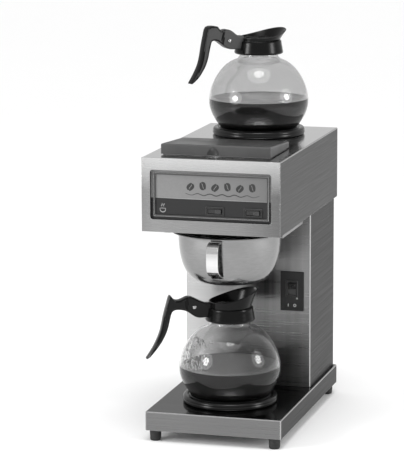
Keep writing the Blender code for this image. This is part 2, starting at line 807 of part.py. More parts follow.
def build_tank(cabinet):
    tank = add_sheet_box(
        "water_tank",
        (-TANK_HALF, TANK_FRONT, TANK_BOTTOM),
        (TANK_HALF, TANK_REAR, TANK_TOP),
        ["+z"],
        DULL_STEEL,
        cabinet,
        wall=1.0 * MM,
        round_by=8 * MM,
    )
    gasket_low = TANK_TOP + GAP
    gasket_high = gasket_low + 2 * MM
    gasket = add_box(
        "tank_gasket",
        (-TANK_HALF - 3 * MM, TANK_FRONT - 3 * MM, gasket_low),
        (TANK_HALF + 3 * MM, TANK_REAR + 3 * MM, gasket_high),
        SILICONE,
        cabinet,
    )
    cut_box(
        gasket,
        (-TANK_HALF + 6 * MM, TANK_FRONT + 6 * MM, gasket_low - 5 * MM),
        (TANK_HALF - 6 * MM, TANK_REAR - 6 * MM, gasket_high + 5 * MM),
    )
    lid_low = gasket_high + GAP
    lid = add_box(
        "tank_lid",
        (-TANK_HALF - 3 * MM, TANK_FRONT - 3 * MM, lid_low),
        (TANK_HALF + 3 * MM, TANK_REAR + 3 * MM, lid_low + 1.5 * MM),
        DULL_STEEL,
        cabinet,
    )
    lid_holes = (
        (FILL_X, TUBE_Y, 5.4 * MM),
        (OUTLET_X, TUBE_Y, 4.4 * MM),
        (-22 * MM, 135 * MM, 4.4 * MM),
        (22 * MM, 135 * MM, 4.4 * MM),
        (55 * MM, 120 * MM, 3.4 * MM),
    )
    for x, y, radius in lid_holes:
        drill(lid, (x, y, lid_low), radius, 12 * MM, "Z")
    stand_low, stand_high = BASE_TOP + GAP, TANK_BOTTOM - GAP
    stand = add_box(
        "tank_stand",
        (-TANK_HALF, TANK_FRONT + 72 * MM, stand_low),
        (TANK_HALF, TANK_REAR - 10 * MM, stand_high),
        DULL_STEEL,
        cabinet,
    )
    cut_box(
        stand,
        (-TANK_HALF - 5 * MM, TANK_FRONT, stand_low + 1.5 * MM),
        (TANK_HALF + 5 * MM, TANK_REAR - 11.5 * MM, stand_high - 1.5 * MM),
    )
    return lid_low


def build_tank_fittings(cabinet, lid_low):
    element = rounded_route(
        [
            (-22 * MM, 135 * MM, lid_low + 14 * MM),
            (-22 * MM, 135 * MM, TANK_BOTTOM + 26 * MM),
            (22 * MM, 135 * MM, TANK_BOTTOM + 26 * MM),
            (22 * MM, 135 * MM, lid_low + 14 * MM),
        ],
        16 * MM,
    )
    add_tube("tank_heater", element, 4 * MM, BRIGHT_STEEL, cabinet)
    probe = [(55 * MM, 120 * MM, lid_low + 12 * MM), (55 * MM, 120 * MM, TANK_BOTTOM + 90 * MM)]
    add_tube("thermostat_probe", probe, 3 * MM, BRIGHT_STEEL, cabinet)
    drain = BASIN_HIGH[1] - 16 * MM
    level = DECK - BASIN_DEPTH - 20 * MM
    fill = rounded_route(
        [
            (FILL_X, drain, DECK - BASIN_DEPTH + 1.0 * MM),
            (FILL_X, drain, level),
            (FILL_X, TUBE_Y, level - 10 * MM),
            (FILL_X, TUBE_Y, TANK_BOTTOM + 12 * MM),
        ],
        13 * MM,
    )
    add_tube("fill_tube", fill, 5 * MM, SILICONE, cabinet)
    outlet = rounded_route(
        [
            (OUTLET_X, TUBE_Y, lid_low - 6 * MM),
            (OUTLET_X, TUBE_Y, HEAD_BOTTOM + 30 * MM),
            (0, LOWER_Y, HEAD_BOTTOM + 26 * MM),
            (0, LOWER_Y, HEAD_BOTTOM + 9.5 * MM),
        ],
        12 * MM,
    )
    add_tube("outlet_tube", outlet, 4 * MM, SILICONE, cabinet)


def build_sprayhead(cabinet):
    """The spray disc under the head, its nipple through the head's floor, and the nut that holds it."""
    at = (0, LOWER_Y, HEAD_BOTTOM)
    spray = [
        (0.0, 9.0 * MM),
        (5.0 * MM, 9.0 * MM),
        (5.0 * MM, -GAP),
        (12 * MM, -GAP),
        (25 * MM, -4.5 * MM),
        (26 * MM, -6.0 * MM),
        (26 * MM, -8.0 * MM),
        (0.0, -8.6 * MM),
    ]
    add_turned("sprayhead", spray, BRIGHT_STEEL, cabinet, at, steps=24)
    low = SHEET + GAP
    bore = 6.2 * MM
    nut = [(bore, low + 4.5 * MM), (10 * MM, low + 4.5 * MM), (10 * MM, low), (bore, low)]
    add_turned("spray_nut", nut, DULL_STEEL, cabinet, at, steps=6)


# ---------------------------------------------------------------- brew basket


def build_rails(cabinet):
    outer = BASKET_RIM + 3.0 * MM
    lip_top = BASKET_RIM_TOP - 2.4 * MM - GAP
    for side, sign in (("left", -1), ("right", 1)):
        outline = [
            (sign * outer, HEAD_BOTTOM - GAP),
            (sign * (outer - SHEET), HEAD_BOTTOM - GAP),
            (sign * (outer - SHEET), lip_top),
            (sign * (outer - 9.5 * MM), lip_top),
            (sign * (outer - 9.5 * MM), lip_top - SHEET),
            (sign * outer, lip_top - SHEET),
        ]
        rings = [[(x, y, z) for x, z in outline] for y in (RAIL_FRONT, RAIL_REAR)]
        place(f"basket_rail_{side}", loft_mesh(f"basket_rail_{side}", rings), STEEL, cabinet)


def basket_wall(z):
    """Outer radius of the basket's bowl at z below the rim's top, from a quarter of an ellipse."""
    depth = 79 * MM
    flat = 46 * MM
    fall = min(max(-z / depth, 0.0), 1.0)
    return flat + (78.5 * MM - flat) * math.sqrt(max(1.0 - fall**2.6, 0.0))


def build_basket(cabinet):
    seat = new_empty("basket_axis", (0, LOWER_Y, BASKET_RIM_TOP), cabinet)
    depth = 79 * MM
    drop = [-7 * MM, -24 * MM, -42 * MM, -55 * MM, -65 * MM, -72 * MM, -77 * MM]
    outside = [(BASKET_RIM - 0.5 * MM, 0.0), (BASKET_RIM, -1.2 * MM), (BASKET_RIM - 0.6 * MM, -2.4 * MM)]
    outside += [(79.4 * MM, -2.4 * MM)]
    outside += [(basket_wall(z), z) for z in drop]
    outside += [(46 * MM, -depth), (4.5 * MM, -depth)]
    inside = [(4.5 * MM, -depth + BASKET_WALL), (45.6 * MM, -depth + BASKET_WALL)]
    inside += [(basket_wall(z) - 1.2 * BASKET_WALL, z + 0.4 * BASKET_WALL) for z in reversed(drop)]
    inside += [(78.2 * MM, -1.4 * MM), (79.4 * MM, 0.0)]
    add_turned("basket_bowl", outside + inside, BRIGHT_STEEL, seat, steps=28)
    build_basket_rack(seat)
    build_basket_handle(seat)


def build_basket_rack(seat):
    """The rack that holds the paper filter off the wall: bars between an upper and a lower hoop."""
    stand_off = 3.0 * MM
    bar = 2.0 * MM
    levels = [-8 * MM, -38 * MM, -56 * MM, -68 * MM, -75 * MM]
    outside = [(basket_wall(z) - stand_off, z) for z in levels]
    inside = [(radius - bar, z + 0.3 * MM) for radius, z in reversed(outside)]
    rack = add_turned("basket_wire_rack", outside + inside, BRIGHT_STEEL, seat, steps=RACK_SLOTS)
    shape = bmesh.new()
    pitch = 2 * math.pi / RACK_SLOTS
    for i in range(RACK_SLOTS):
        made = bmesh.ops.create_cube(shape, size=1.0)
        for vertex in made["verts"]:
            outer = vertex.co.x > 0
            radius = 84 * MM if outer else 42 * MM
            half = radius * math.tan(pitch / 2) - 1.4 * MM
            z = -12 * MM if vertex.co.z > 0 else -70 * MM
            vertex.co = Vector((radius, half if vertex.co.y > 0 else -half, z))
            vertex.co.rotate(Matrix.Rotation((i + 0.5) * pitch, 3, "Z"))
    mesh = bpy.data.meshes.new("rack_slots")
    shape.to_mesh(mesh)
    shape.free()
    combine(rack, new_cutter("rack_slots", mesh, seat))


def strap_outline(path, thickness):
    """The closed outline of a strap that follows a path."""
    path = [Vector(point) for point in path]
    left, right = [], []
    for i, point in enumerate(path):
        before, after = path[max(i - 1, 0)], path[min(i + 1, len(path) - 1)]
        along = (after - before).normalized()
        aside = Vector((-along.y, along.x)) * thickness / 2
        left.append(point + aside)
        right.append(point - aside)
    return [tuple(point) for point in left + right[::-1]]


def build_basket_handle(seat):
    """A steel strap bent to a C, its ends against the bowl's front."""
    high, low = -7 * MM, -64 * MM
    start = basket_wall(high) + 0.5 * MM
    end = basket_wall(low) + 1.6 * MM
    corners = [(start, high, 0), (100 * MM, high, 0), (101 * MM, -50 * MM, 0), (end, low, 0)]
    path = [point.to_2d() for point in rounded_route(corners, 15 * MM, steps=6)]
    handle = add_outline(
        "basket_handle", strap_outline(path, 2.0 * MM), 18 * MM, BRIGHT_STEEL, seat, (0, 0, 0)
    )
    # The outline's X runs forwards and its Y runs up.
    handle.rotation_euler = (math.pi / 2, 0, -math.pi / 2)


# ---------------------------------------------------------------- decanters


def bowl_outside():
    """(radius, height) down the glass, from the mouth to the foot."""
    return [
        (30.2 * MM, 151.0 * MM),
        (30.2 * MM, 125.0 * MM),
        (33.5 * MM, 119.6 * MM),
        (43.5 * MM, 115.0 * MM),
        (52.5 * MM, 108.8 * MM),
        (60.5 * MM, 100.4 * MM),
        (67.5 * MM, 90.2 * MM),
        (72.6 * MM, 80.0 * MM),
        (76.4 * MM, 69.0 * MM),
        (78.2 * MM, 58.0 * MM),
        (78.0 * MM, 47.0 * MM),
        (75.6 * MM, 36.8 * MM),
        (71.4 * MM, 27.5 * MM),
        (65.6 * MM, 18.2 * MM),
        (62.6 * MM, 14.0 * MM),
        (58.5 * MM, GLASS_BOTTOM),
    ]


def inset(profile, by):
    """The same outline moved inwards by a wall's thickness."""
    moved = []
    for i, (radius, height) in enumerate(profile):
        before, after = profile[max(i - 1, 0)], profile[min(i + 1, len(profile) - 1)]
        along = Vector((after[0] - before[0], after[1] - before[1])).normalized()
        moved.append((radius + along.y * by, height - along.x * by))
    return moved


def build_decanter(name, cabinet, y, surface):
    axis = new_empty(f"{name}_decanter_axis", (0, y, surface), cabinet, HEADS[name]["turn"])
    outside = bowl_outside()
    walls = inset(outside, GLASS_WALL)[:-2:2]
    floor = GLASS_BOTTOM + GLASS_WALL
    profile = [(0.0, GLASS_BOTTOM)] + outside[::-1] + walls + [(57 * MM, floor), (0.0, floor)]
    add_turned(f"{name}_decanter_glass", profile[::-1], GLASS, axis, steps=28)
    collar = [
        (34.6 * MM, COLLAR_TOP),
        (35.6 * MM, COLLAR_TOP - 1.0 * MM),
        (36.4 * MM, 141.5 * MM),
        (37.4 * MM, 136.0 * MM),
        (38.4 * MM, 130.6 * MM),
        (37.6 * MM, 127.8 * MM),
        (35.0 * MM, 127.0 * MM),
        (30.7 * MM, 128.5 * MM),
        (30.7 * MM, COLLAR_TOP),
    ]
    add_turned(f"{name}_decanter_collar", collar, BLACK_PLASTIC, axis, steps=24)
    build_spout(name, axis)
    build_handle(name, axis)


def spout_ring(head, share, sides=24):
    """One level of the pouring lip, from its round foot (0) to its slanted rim (1)."""
    foot_radius, foot_height = 33.0 * MM, COLLAR_TOP + GAP
    ring = []
    for i in range(sides):
        angle = 2 * math.pi * i / sides
        towards_spout = (1 + math.cos(angle)) / 2
        rim_radius = foot_radius + (head["spout_reach"] - foot_radius) * towards_spout**2.4
        climb = (head["rim_high"] - head["rim_low"]) * towards_spout ** head["rim_rise"]
        rim_height = head["rim_low"] + climb
        radius = foot_radius * (1 - share) + rim_radius * share
        height = foot_height * (1 - share) + rim_height * share
        ring.append((radius * math.cos(angle), radius * math.sin(angle), height))
    return ring


def build_spout(name, axis):
    """The pouring lip on the collar: low by the handle, drawn up and out to the spout."""
    rings = [spout_ring(HEADS[name], share) for share in (0.0, 0.45, 1.0)]
    mesh = loft_mesh(f"{name}_decanter_spout", rings, capped=False)
    spout = place(f"{name}_decanter_spout", mesh, BLACK_PLASTIC, axis)
    thicken(spout, 2.0 * MM)


def build_handle(name, axis):
    """The handle: a block on the collar, a bridge with a thumb rest and a grip that sweeps down."""
    sides = 12
    rings = []
    for outer_reach, outer_height, inner_reach, inner_height in HANDLE_SECTIONS[name]:
        outer = Vector((-outer_reach, 0.0, outer_height)) * MM
        inner = Vector((-inner_reach, 0.0, inner_height)) * MM
        ring = []
        for i in range(sides):
            angle = 2 * math.pi * (i + 0.5) / sides
            squareness = 0.5
            across = math.copysign(abs(math.cos(angle)) ** squareness, math.cos(angle))
            along = math.copysign(abs(math.sin(angle)) ** squareness, math.sin(angle))
            middle = (outer + inner) / 2 + (outer - inner) / 2 * along
            ring.append(middle + Vector((0, across * HANDLE_HALF_WIDTH, 0)))
        rings.append(ring)
    mesh = loft_mesh(f"{name}_decanter_handle", rings)
    place(f"{name}_decanter_handle", mesh, BLACK_PLASTIC, axis)
    profile = [(0.0, 1.8 * MM), (2.0 * MM, 1.5 * MM), (3.0 * MM, 0.5 * MM), (3.0 * MM, 0.0), (0.0, 0.0)]
    spot = (-56.5 * MM, -HANDLE_HALF_WIDTH - GAP, 150.5 * MM)
    screw = add_turned(f"{name}_decanter_screw", profile, BRIGHT_STEEL, axis, spot, steps=12)
    screw.rotation_euler = (math.pi / 2, 0, 0)


def build():
    cabinet = new_empty("cabinet", (CABINET_X, CABINET_Y, 0.0))
    build_base(cabinet)
    build_column(cabinet)
    build_switch_plate(cabinet)
    build_head(cabinet)
    build_warmer("lower", cabinet, LOWER_Y, BASE_TOP)
    build_warmer("upper", cabinet, UPPER_Y, DECK)
    build_lid(cabinet)
    build_basin(cabinet)
    build_tank_fittings(cabinet, build_tank(cabinet))
    build_sprayhead(cabinet)
    build_rails(cabinet)
    build_basket(cabinet)
    build_decanter("lower", cabinet, LOWER_Y, BASE_TOP)
    build_decanter("upper", cabinet, UPPER_Y, DECK)


clear_scene()
PARTS = new_collection("coffee_brewer")
CUTTERS = new_collection("cutters")
CUTTERS.hide_render = True
build()
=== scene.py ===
"""The looks of a commercial pour-over coffee brewer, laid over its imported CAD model."""

import math
import random

import bmesh
import bpy
from mathutils import Matrix, Vector


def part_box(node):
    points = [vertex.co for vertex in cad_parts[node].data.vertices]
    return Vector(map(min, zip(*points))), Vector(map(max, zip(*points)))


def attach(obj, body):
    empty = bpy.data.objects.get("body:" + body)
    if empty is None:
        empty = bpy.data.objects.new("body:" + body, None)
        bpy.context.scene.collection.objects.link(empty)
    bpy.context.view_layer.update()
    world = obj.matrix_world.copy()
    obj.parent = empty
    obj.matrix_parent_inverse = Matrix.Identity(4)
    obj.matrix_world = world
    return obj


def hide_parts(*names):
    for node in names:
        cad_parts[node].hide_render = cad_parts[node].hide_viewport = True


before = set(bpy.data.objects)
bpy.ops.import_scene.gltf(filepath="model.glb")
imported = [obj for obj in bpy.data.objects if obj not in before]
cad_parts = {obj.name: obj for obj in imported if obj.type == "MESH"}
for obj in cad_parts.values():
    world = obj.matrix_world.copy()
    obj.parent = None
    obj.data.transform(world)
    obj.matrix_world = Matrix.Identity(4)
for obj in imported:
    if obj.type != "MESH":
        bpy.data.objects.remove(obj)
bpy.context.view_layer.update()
MM = 0.001

# ---------------------------------------------------------------- where things are

FRONT_LOW, FRONT_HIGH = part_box("head_front_frame")
MIDDLE_X = (FRONT_LOW.x + FRONT_HIGH.x) / 2
FRONT_Y = FRONT_LOW.y
HEAD_BOTTOM = FRONT_LOW.z
DECK = FRONT_HIGH.z
BASE_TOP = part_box("base_shell")[1].z
# Each decanter's head: its turn in degrees, and its pouring lip in mm, which has the rim's lowest
# and highest points, how steeply the rim rises between them, and how far the spout reaches.
HEADS = {
    "lower": {"turn": 26.0, "low": 157.5, "high": 175.5, "rise": 1.7, "reach": 42.5},
    "upper": {"turn": 44.0, "low": 153.5, "high": 166.0, "rise": 3.4, "reach": 45.0},
}
# Reach and height of each handle section's outer point, then of its inner point, in mm.
HANDLE_SECTIONS = {
    "lower": [
        (39.0, 155.5, 39.0, 134.0),
        (47.0, 158.8, 47.0, 133.4),
        (55.0, 163.0, 54.0, 134.8),
        (62.0, 166.0, 60.0, 138.4),
        (68.5, 166.0, 66.0, 142.8),
        (74.5, 163.4, 72.0, 145.6),
        (81.0, 161.2, 79.0, 147.0),
        (87.5, 162.6, 86.0, 146.8),
        (94.4, 169.0, 90.6, 144.2),
        (99.6, 153.0, 92.8, 139.0),
        (103.6, 138.0, 94.8, 130.5),
        (106.2, 125.0, 97.0, 121.0),
        (109.2, 113.0, 100.6, 110.6),
        (113.8, 101.0, 106.0, 100.0),
        (120.6, 87.4, 113.4, 89.0),
        (130.6, 72.0, 124.4, 76.0),
    ],
    "upper": [
        (39.0, 157.0, 39.0, 136.4),
        (45.0, 160.4, 47.0, 136.4),
        (51.0, 165.2, 56.0, 137.4),
        (57.5, 168.0, 63.0, 140.8),
        (63.5, 167.8, 69.0, 145.4),
        (69.0, 166.4, 74.5, 149.2),
        (73.6, 170.2, 79.4, 151.2),
        (78.0, 174.0, 84.2, 151.6),
        (92.0, 173.0, 87.6, 149.6),
        (97.0, 158.0, 89.8, 142.0),
        (100.6, 142.0, 91.8, 133.0),
        (103.4, 127.0, 94.0, 123.6),
        (106.8, 115.0, 98.2, 112.8),
        (112.2, 103.6, 104.2, 103.4),
        (117.2, 95.0, 110.0, 95.8),
        (122.6, 86.2, 116.6, 90.4),
    ],
}
# Height of the coffee over the sheet under the warmer, in mm.
COFFEE_LEVEL = 56.5


def middle(node):
    """The middle of a node's box."""
    low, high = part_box(node)
    return (low + high) / 2


# ---------------------------------------------------------------- materials


# Sockets of a Mix node for colours; their names are shared with its number and vector sockets.
MIX_FACTOR, MIX_FIRST, MIX_SECOND, MIX_RESULT = 0, 6, 7, 2
STROKE_SCALE, STROKE_DETAIL = 60.0, 5.0
SHEET_RELIEF = 0.0004
MOULDED_RELIEF = 0.0003


def grey(tone):
    return (tone, tone, tone)


class Look:
    """A Principled material with helpers for its procedural nodes."""

    def __init__(self, name, colour, metallic, roughness, **extra):
        self.material = bpy.data.materials.new(name)
        self.material.use_nodes = True
        self.tree = self.material.node_tree
        self.shader = self.tree.nodes["Principled BSDF"]
        self.set("Base Color", (*colour, 1.0))
        self.set("Metallic", metallic)
        self.set("Roughness", roughness)
        for socket, value in extra.items():
            self.set(socket.replace("_", " "), value)

    def set(self, socket, value):
        self.shader.inputs[socket].default_value = value

    def node(self, kind, **values):
        """A new node; values are its attributes, or else its sockets."""
        node = self.tree.nodes.new(kind)
        for name, value in values.items():
            if hasattr(node, name):
                setattr(node, name, value)
            else:
                node.inputs[name.replace("_", " ")].default_value = value
        return node

    def link(self, output, target):
        self.tree.links.new(output, target)

    def noise(self, scale, stretch=(1, 1, 1), detail=3.0):
        """Noise fixed to the object; a small stretch makes it long along that axis."""
        where = self.node("ShaderNodeTexCoord")
        mapping = self.node("ShaderNodeMapping")
        mapping.inputs["Scale"].default_value = stretch
        noise = self.node("ShaderNodeTexNoise", Scale=scale, Detail=detail)
        self.link(where.outputs["Object"], mapping.inputs["Vector"])
        self.link(mapping.outputs["Vector"], noise.inputs["Vector"])
        return noise.outputs["Fac"]

    def strokes(self, grain):
        return self.noise(STROKE_SCALE, grain, STROKE_DETAIL)

    def spread(self, value, low, high, start=0.3, end=0.7):
        """Maps a 0 to 1 texture onto low to high."""
        to = self.node("ShaderNodeMapRange")
        to.inputs["From Min"].default_value = start
        to.inputs["From Max"].default_value = end
        to.inputs["To Min"].default_value = low
        to.inputs["To Max"].default_value = high
        self.link(value, to.inputs["Value"])
        return to.outputs["Result"]

    def vary_roughness(self, value, low, high):
        self.link(self.spread(value, low, high), self.shader.inputs["Roughness"])

    def mix(self, factor, first, second):
        """Colours are tuples or node outputs, and factor an output or a number."""
        node = self.node("ShaderNodeMix", data_type="RGBA")
        for value, target in ((factor, MIX_FACTOR), (first, MIX_FIRST), (second, MIX_SECOND)):
            if hasattr(value, "is_linked"):
                self.link(value, node.inputs[target])
            elif target == MIX_FACTOR:
                node.inputs[target].default_value = value
            else:
                node.inputs[target].default_value = (*value, 1.0)
        return node.outputs[MIX_RESULT]

    def ramp(self, value, stops):
        """Greys along a value, from stops of (position, tone)."""
        node = self.node("ShaderNodeValToRGB")
        marks = node.color_ramp.elements
        while len(marks) < len(stops):
            marks.new(0.5)
        for mark, (position, tone) in zip(marks, stops):
            mark.position = position
            mark.color = (*grey(tone), 1.0)
        self.link(value, node.inputs["Fac"])
        return node.outputs["Color"]

    def axis(self, name, low, high):
        """0 to 1 across the object from low to high along an axis."""
        where = self.node("ShaderNodeTexCoord")
        split = self.node("ShaderNodeSeparateXYZ")
        self.link(where.outputs["Object"], split.inputs["Vector"])
        return self.spread(split.outputs[name], 0.0, 1.0, low, high)

    def bump(self, value, strength, distance):
        bump = self.node("ShaderNodeBump", Strength=strength, Distance=distance)
        self.link(value, bump.inputs["Height"])
        self.link(bump.outputs["Normal"], self.shader.inputs["Normal"])

    def paint(self, output):
        self.link(output, self.shader.inputs["Base Color"])


def brushed(name, tone, roughness, grain, contrast=0.12, bump=0.03, glancing=1.0):
    """Brushed steel; grain stretches its strokes, and glancing is its brightness seen edge on."""
    look = Look(name, grey(tone), 1.0, roughness, Specular_Tint=(*grey(glancing), 1.0))
    strokes = look.strokes(grain)
    clouds = look.noise(5.0, detail=2.0)
    dark, light = grey(tone * (1 - contrast)), grey(tone * (1 + contrast))
    fine = look.mix(look.spread(strokes, 0.0, 1.0), dark, light)
    look.paint(look.mix(look.spread(clouds, 0.0, 0.3), fine, grey(tone * 0.85)))
    look.vary_roughness(strokes, roughness * 0.75, roughness * 1.3)
    look.bump(strokes, bump, SHEET_RELIEF)
    return look.material


def moulded(name, tone, roughness, grain, bump, shine=0.5):
    """Moulded plastic or rubber: a fine texture and slight polish marks."""
    look = Look(name, (tone, tone, tone * 1.02), 0.0, roughness, Specular_IOR_Level=shine)
    patches = look.noise(24.0, detail=4.0)
    look.paint(look.mix(look.spread(patches, 0.0, 1.0), grey(tone * 0.9), grey(tone * 1.1)))
    look.vary_roughness(patches, roughness * 0.8, roughness * 1.2)
    look.bump(look.noise(grain, detail=2.0), bump, MOULDED_RELIEF)
    return look.material


# Noise stretches that give strokes along an axis.
ALONG_X = (0.12, 6.0, 14.0)
ALONG_Y = (14.0, 0.12, 14.0)

# The side, deck, base and front steels are one brushed steel in lit and shaded copies: the deck
# and front tones are painted light, and the side, base top and base front tones are painted shade.
STEEL_SIDE_PAINTED_SHADE = brushed("steel_side_painted_shade", 0.13, 0.34, ALONG_Y, 0.05, 0.02, 0.62)
STEEL_COLUMN_SIDE_PAINTED_SHADE = brushed("steel_column_side_painted_shade", 0.10, 0.34, ALONG_Y, 0.05, 0.02, 0.55)
STEEL_BASE_SIDE_PAINTED_SHADE = brushed("steel_base_side_painted_shade", 0.115, 0.34, ALONG_Y, 0.05, 0.02, 0.55)
STEEL_DECK_PAINTED_LIGHT = brushed("steel_deck_painted_light", 0.64, 0.15, (10.0, 0.3, 1.0), 0.05, 0.012)
STEEL_BASE_TOP_PAINTED_SHADE = brushed("steel_base_top_painted_shade", 0.30, 0.11, ALONG_X, 0.06, 0.012, 0.5)
STEEL_BASE_FRONT_PAINTED_SHADE = brushed("steel_base_front_painted_shade", 0.19, 0.30, ALONG_X, contrast=0.08)
STEEL_FRONT_PAINTED_LIGHT = brushed("steel_front_painted_light", 0.55, 0.28, ALONG_X, contrast=0.08)
# Rounded edges in a lighter steel: painted highlights.
STEEL_EDGE_PAINTED_HIGHLIGHT = brushed("steel_edge_painted_highlight", 0.42, 0.18, ALONG_Y, contrast=0.05)
STEEL_INNER = brushed("steel_inner", 0.30, 0.42, ALONG_Y)
STEEL_REAR = brushed("steel_rear", 0.30, 0.34, ALONG_X)
CHROME = brushed("bright_steel", 0.70, 0.10, (1.0, 1.0, 14.0), contrast=0.05, bump=0.008)
BOWL_STEEL = brushed("bowl_steel", 0.27, 0.18, (1.5, 1.5, 10.0), contrast=0.08, bump=0.015)
SCREW_STEEL = brushed("screw_steel", 0.40, 0.24, (6.0, 6.0, 6.0), contrast=0.1)
ENAMEL = moulded("black_enamel", 0.006, 0.14, 420.0, 0.03, 0.28)
PLASTIC = moulded("black_plastic", 0.004, 0.18, 700.0, 0.05, 0.16)
SWITCH_BLACK = moulded("switch_black", 0.010, 0.34, 1200.0, 0.08, 0.35)
HANDLE_BLACK = moulded("handle_black", 0.004, 0.27, 700.0, 0.06, 0.12)
# The handle's rims are a lighter black: painted highlights.
HANDLE_EDGE_PAINTED_HIGHLIGHT = moulded("handle_edge_painted_highlight", 0.045, 0.24, 700.0, 0.04, 0.4)
# The let-in sides of one handle moulding: a lighter copy on the upper handle is painted light, and
# a darker copy on the lower handle is painted shade.
HANDLE_SIDES_PAINTED_LIGHT_AND_SHADE = {
    "lower": moulded("lower_handle_side_painted_shade", 0.009, 0.40, 900.0, 0.08, 0.16),
    "upper": moulded("upper_handle_side_painted_light", 0.055, 0.42, 900.0, 0.08, 0.25),
}
# Lighter rims on the switch housings: painted highlights.
SWITCH_EDGE_PAINTED_HIGHLIGHT = moulded("switch_edge_painted_highlight", 0.060, 0.30, 900.0, 0.04)
# The panel trim's dark face is painted shade in the recess, and its light edges are painted
# highlights.
TRIM_PAINTED_SHADE = brushed("trim_painted_shade", 0.10, 0.30, ALONG_X, 0.08, 0.02)
TRIM_PAINTED_HIGHLIGHT = brushed("trim_painted_highlight", 0.55, 0.20, ALONG_X, 0.05, 0.01)
ROCKER_BLACK = moulded("rocker_black", 0.014, 0.22, 800.0, 0.05, 0.5)
# The lid's front and edges are a lighter copy of its plastic, painted light; its top and sides are
# a darker copy, painted shade.
LID_FRONT_PAINTED_LIGHT = moulded("lid_front_painted_light", 0.066, 0.34, 1100.0, 0.10, 0.4)
LID_PAINTED_SHADE = moulded("lid_plastic", 0.034, 0.36, 1100.0, 0.10, 0.36)
RUBBER = moulded("foot_rubber", 0.012, 0.60, 500.0, 0.12)
SILICONE = moulded("silicone", 0.62, 0.48, 300.0, 0.05)
WHITE_PRINT = moulded("white_print", 0.78, 0.42, 500.0, 0.02)

# The column's tones, painted reflections of the studio, as (share of its width, tone): over most
# of its height, then low down.
COLUMN_PAINTED_REFLECTIONS = [
    (0.0, 0.50),
    (0.20, 0.46),
    (0.26, 0.26),
    (0.38, 0.24),
    (0.44, 0.36),
    (0.50, 0.24),
    (0.56, 0.07),
    (0.70, 0.06),
    (0.73, 0.14),
    (1.0, 0.22),
]
COLUMN_LOW_PAINTED_REFLECTIONS = [(0.0, 0.56), (0.3, 0.42), (0.6, 0.24), (1.0, 0.22)]
COLUMN_HALF_WIDTH = 101 * MM
# Heights between which the low painted reflections give way to the upper ones.
COLUMN_BANDS_FROM, COLUMN_BANDS_FULL = 182 * MM, 196 * MM


def column_painted_reflections_look():
    """The column's front: brushed, with broad upright bands of painted reflection."""
    look = Look("steel_column", grey(0.4), 1.0, 0.3)
    strokes = look.strokes(ALONG_X)
    lines = look.noise(110.0, (1.0, 1.0, 0.01), 4.0)
    across = look.axis("X", MIDDLE_X - COLUMN_HALF_WIDTH, MIDDLE_X + COLUMN_HALF_WIDTH)
    painted_reflections = look.ramp(across, COLUMN_PAINTED_REFLECTIONS)
    up = look.axis("Z", COLUMN_BANDS_FROM, COLUMN_BANDS_FULL)
    painted_reflections = look.mix(up, look.ramp(across, COLUMN_LOW_PAINTED_REFLECTIONS), painted_reflections)
    fine = look.mix(look.spread(strokes, 0.0, 0.12), painted_reflections, grey(0.2))
    look.paint(look.mix(look.spread(lines, 0.0, 0.12), fine, grey(0.6)))
    look.vary_roughness(strokes, 0.26, 0.34)
    look.bump(strokes, 0.02, SHEET_RELIEF)
    return look.material


HEAD_HALF_WIDTH = 106 * MM
# Height above which painted light brightens the head's front.
BEZEL_PAINTED_LIGHT_FROM = HEAD_BOTTOM + 60 * MM


def bezel_painted_light_look():
    """The head's front: brushed, brighter towards its top and duller towards its right, which is
    painted light and shade.
    """
    look = Look("steel_bezel_painted_light", grey(0.5), 1.0, 0.28)
    strokes = look.strokes(ALONG_X)
    across = look.axis("X", MIDDLE_X - HEAD_HALF_WIDTH, MIDDLE_X + HEAD_HALF_WIDTH)
    up = look.axis("Z", BEZEL_PAINTED_LIGHT_FROM, DECK)
    tone = look.ramp(across, [(0.0, 0.26), (0.1, 0.30), (0.7, 0.26), (1.0, 0.16)])
    # Painted light towards the top.
    tone = look.mix(up, tone, look.mix(0.6, tone, grey(0.85)))
    look.paint(look.mix(look.spread(strokes, 0.0, 0.16), tone, grey(0.2)))
    look.vary_roughness(strokes, 0.22, 0.36)
    look.bump(strokes, 0.03, SHEET_RELIEF)
    return look.material


def glass_look(name, tint, ior):
    """Clear glass, slightly smeared."""
    look = Look(name, grey(tint), 0.0, 0.02, Transmission_Weight=1.0, IOR=ior)
    smears = look.noise(30.0, (1, 1, 0.5), 4.0)
    look.vary_roughness(smears, 0.0, 0.035)
    return look.material


def coffee_look():
    """Coffee seen through the wall of the glass."""
    look = Look("coffee", grey(0.010), 0.0, 0.3, Specular_IOR_Level=0.1)
    swirl = look.noise(18.0, detail=3.0)
    light = (0.022, 0.0215, 0.021)
    look.paint(look.mix(look.spread(swirl, 0.0, 1.0), grey(0.006), light))
    return look.material


def painted_reflection_surface_look(name, tone):
    """The coffee's free surface, which mirrors the room; its grey base colour paints more of that
    reflection.
    """
    look = Look(name, grey(tone), 0.0, 0.05, IOR=3.0)
    ripples = look.noise(60.0, detail=2.0)
    look.paint(look.mix(look.spread(ripples, 0.0, 1.0), grey(tone), grey(tone * 1.5)))
    look.vary_roughness(ripples, 0.02, 0.08)
    look.bump(ripples, 0.02, 0.0005)
    return look.material


PANEL_HALF_WIDTH = 93 * MM
PANEL_BAND_EDGE = HEAD_BOTTOM + 51.2 * MM


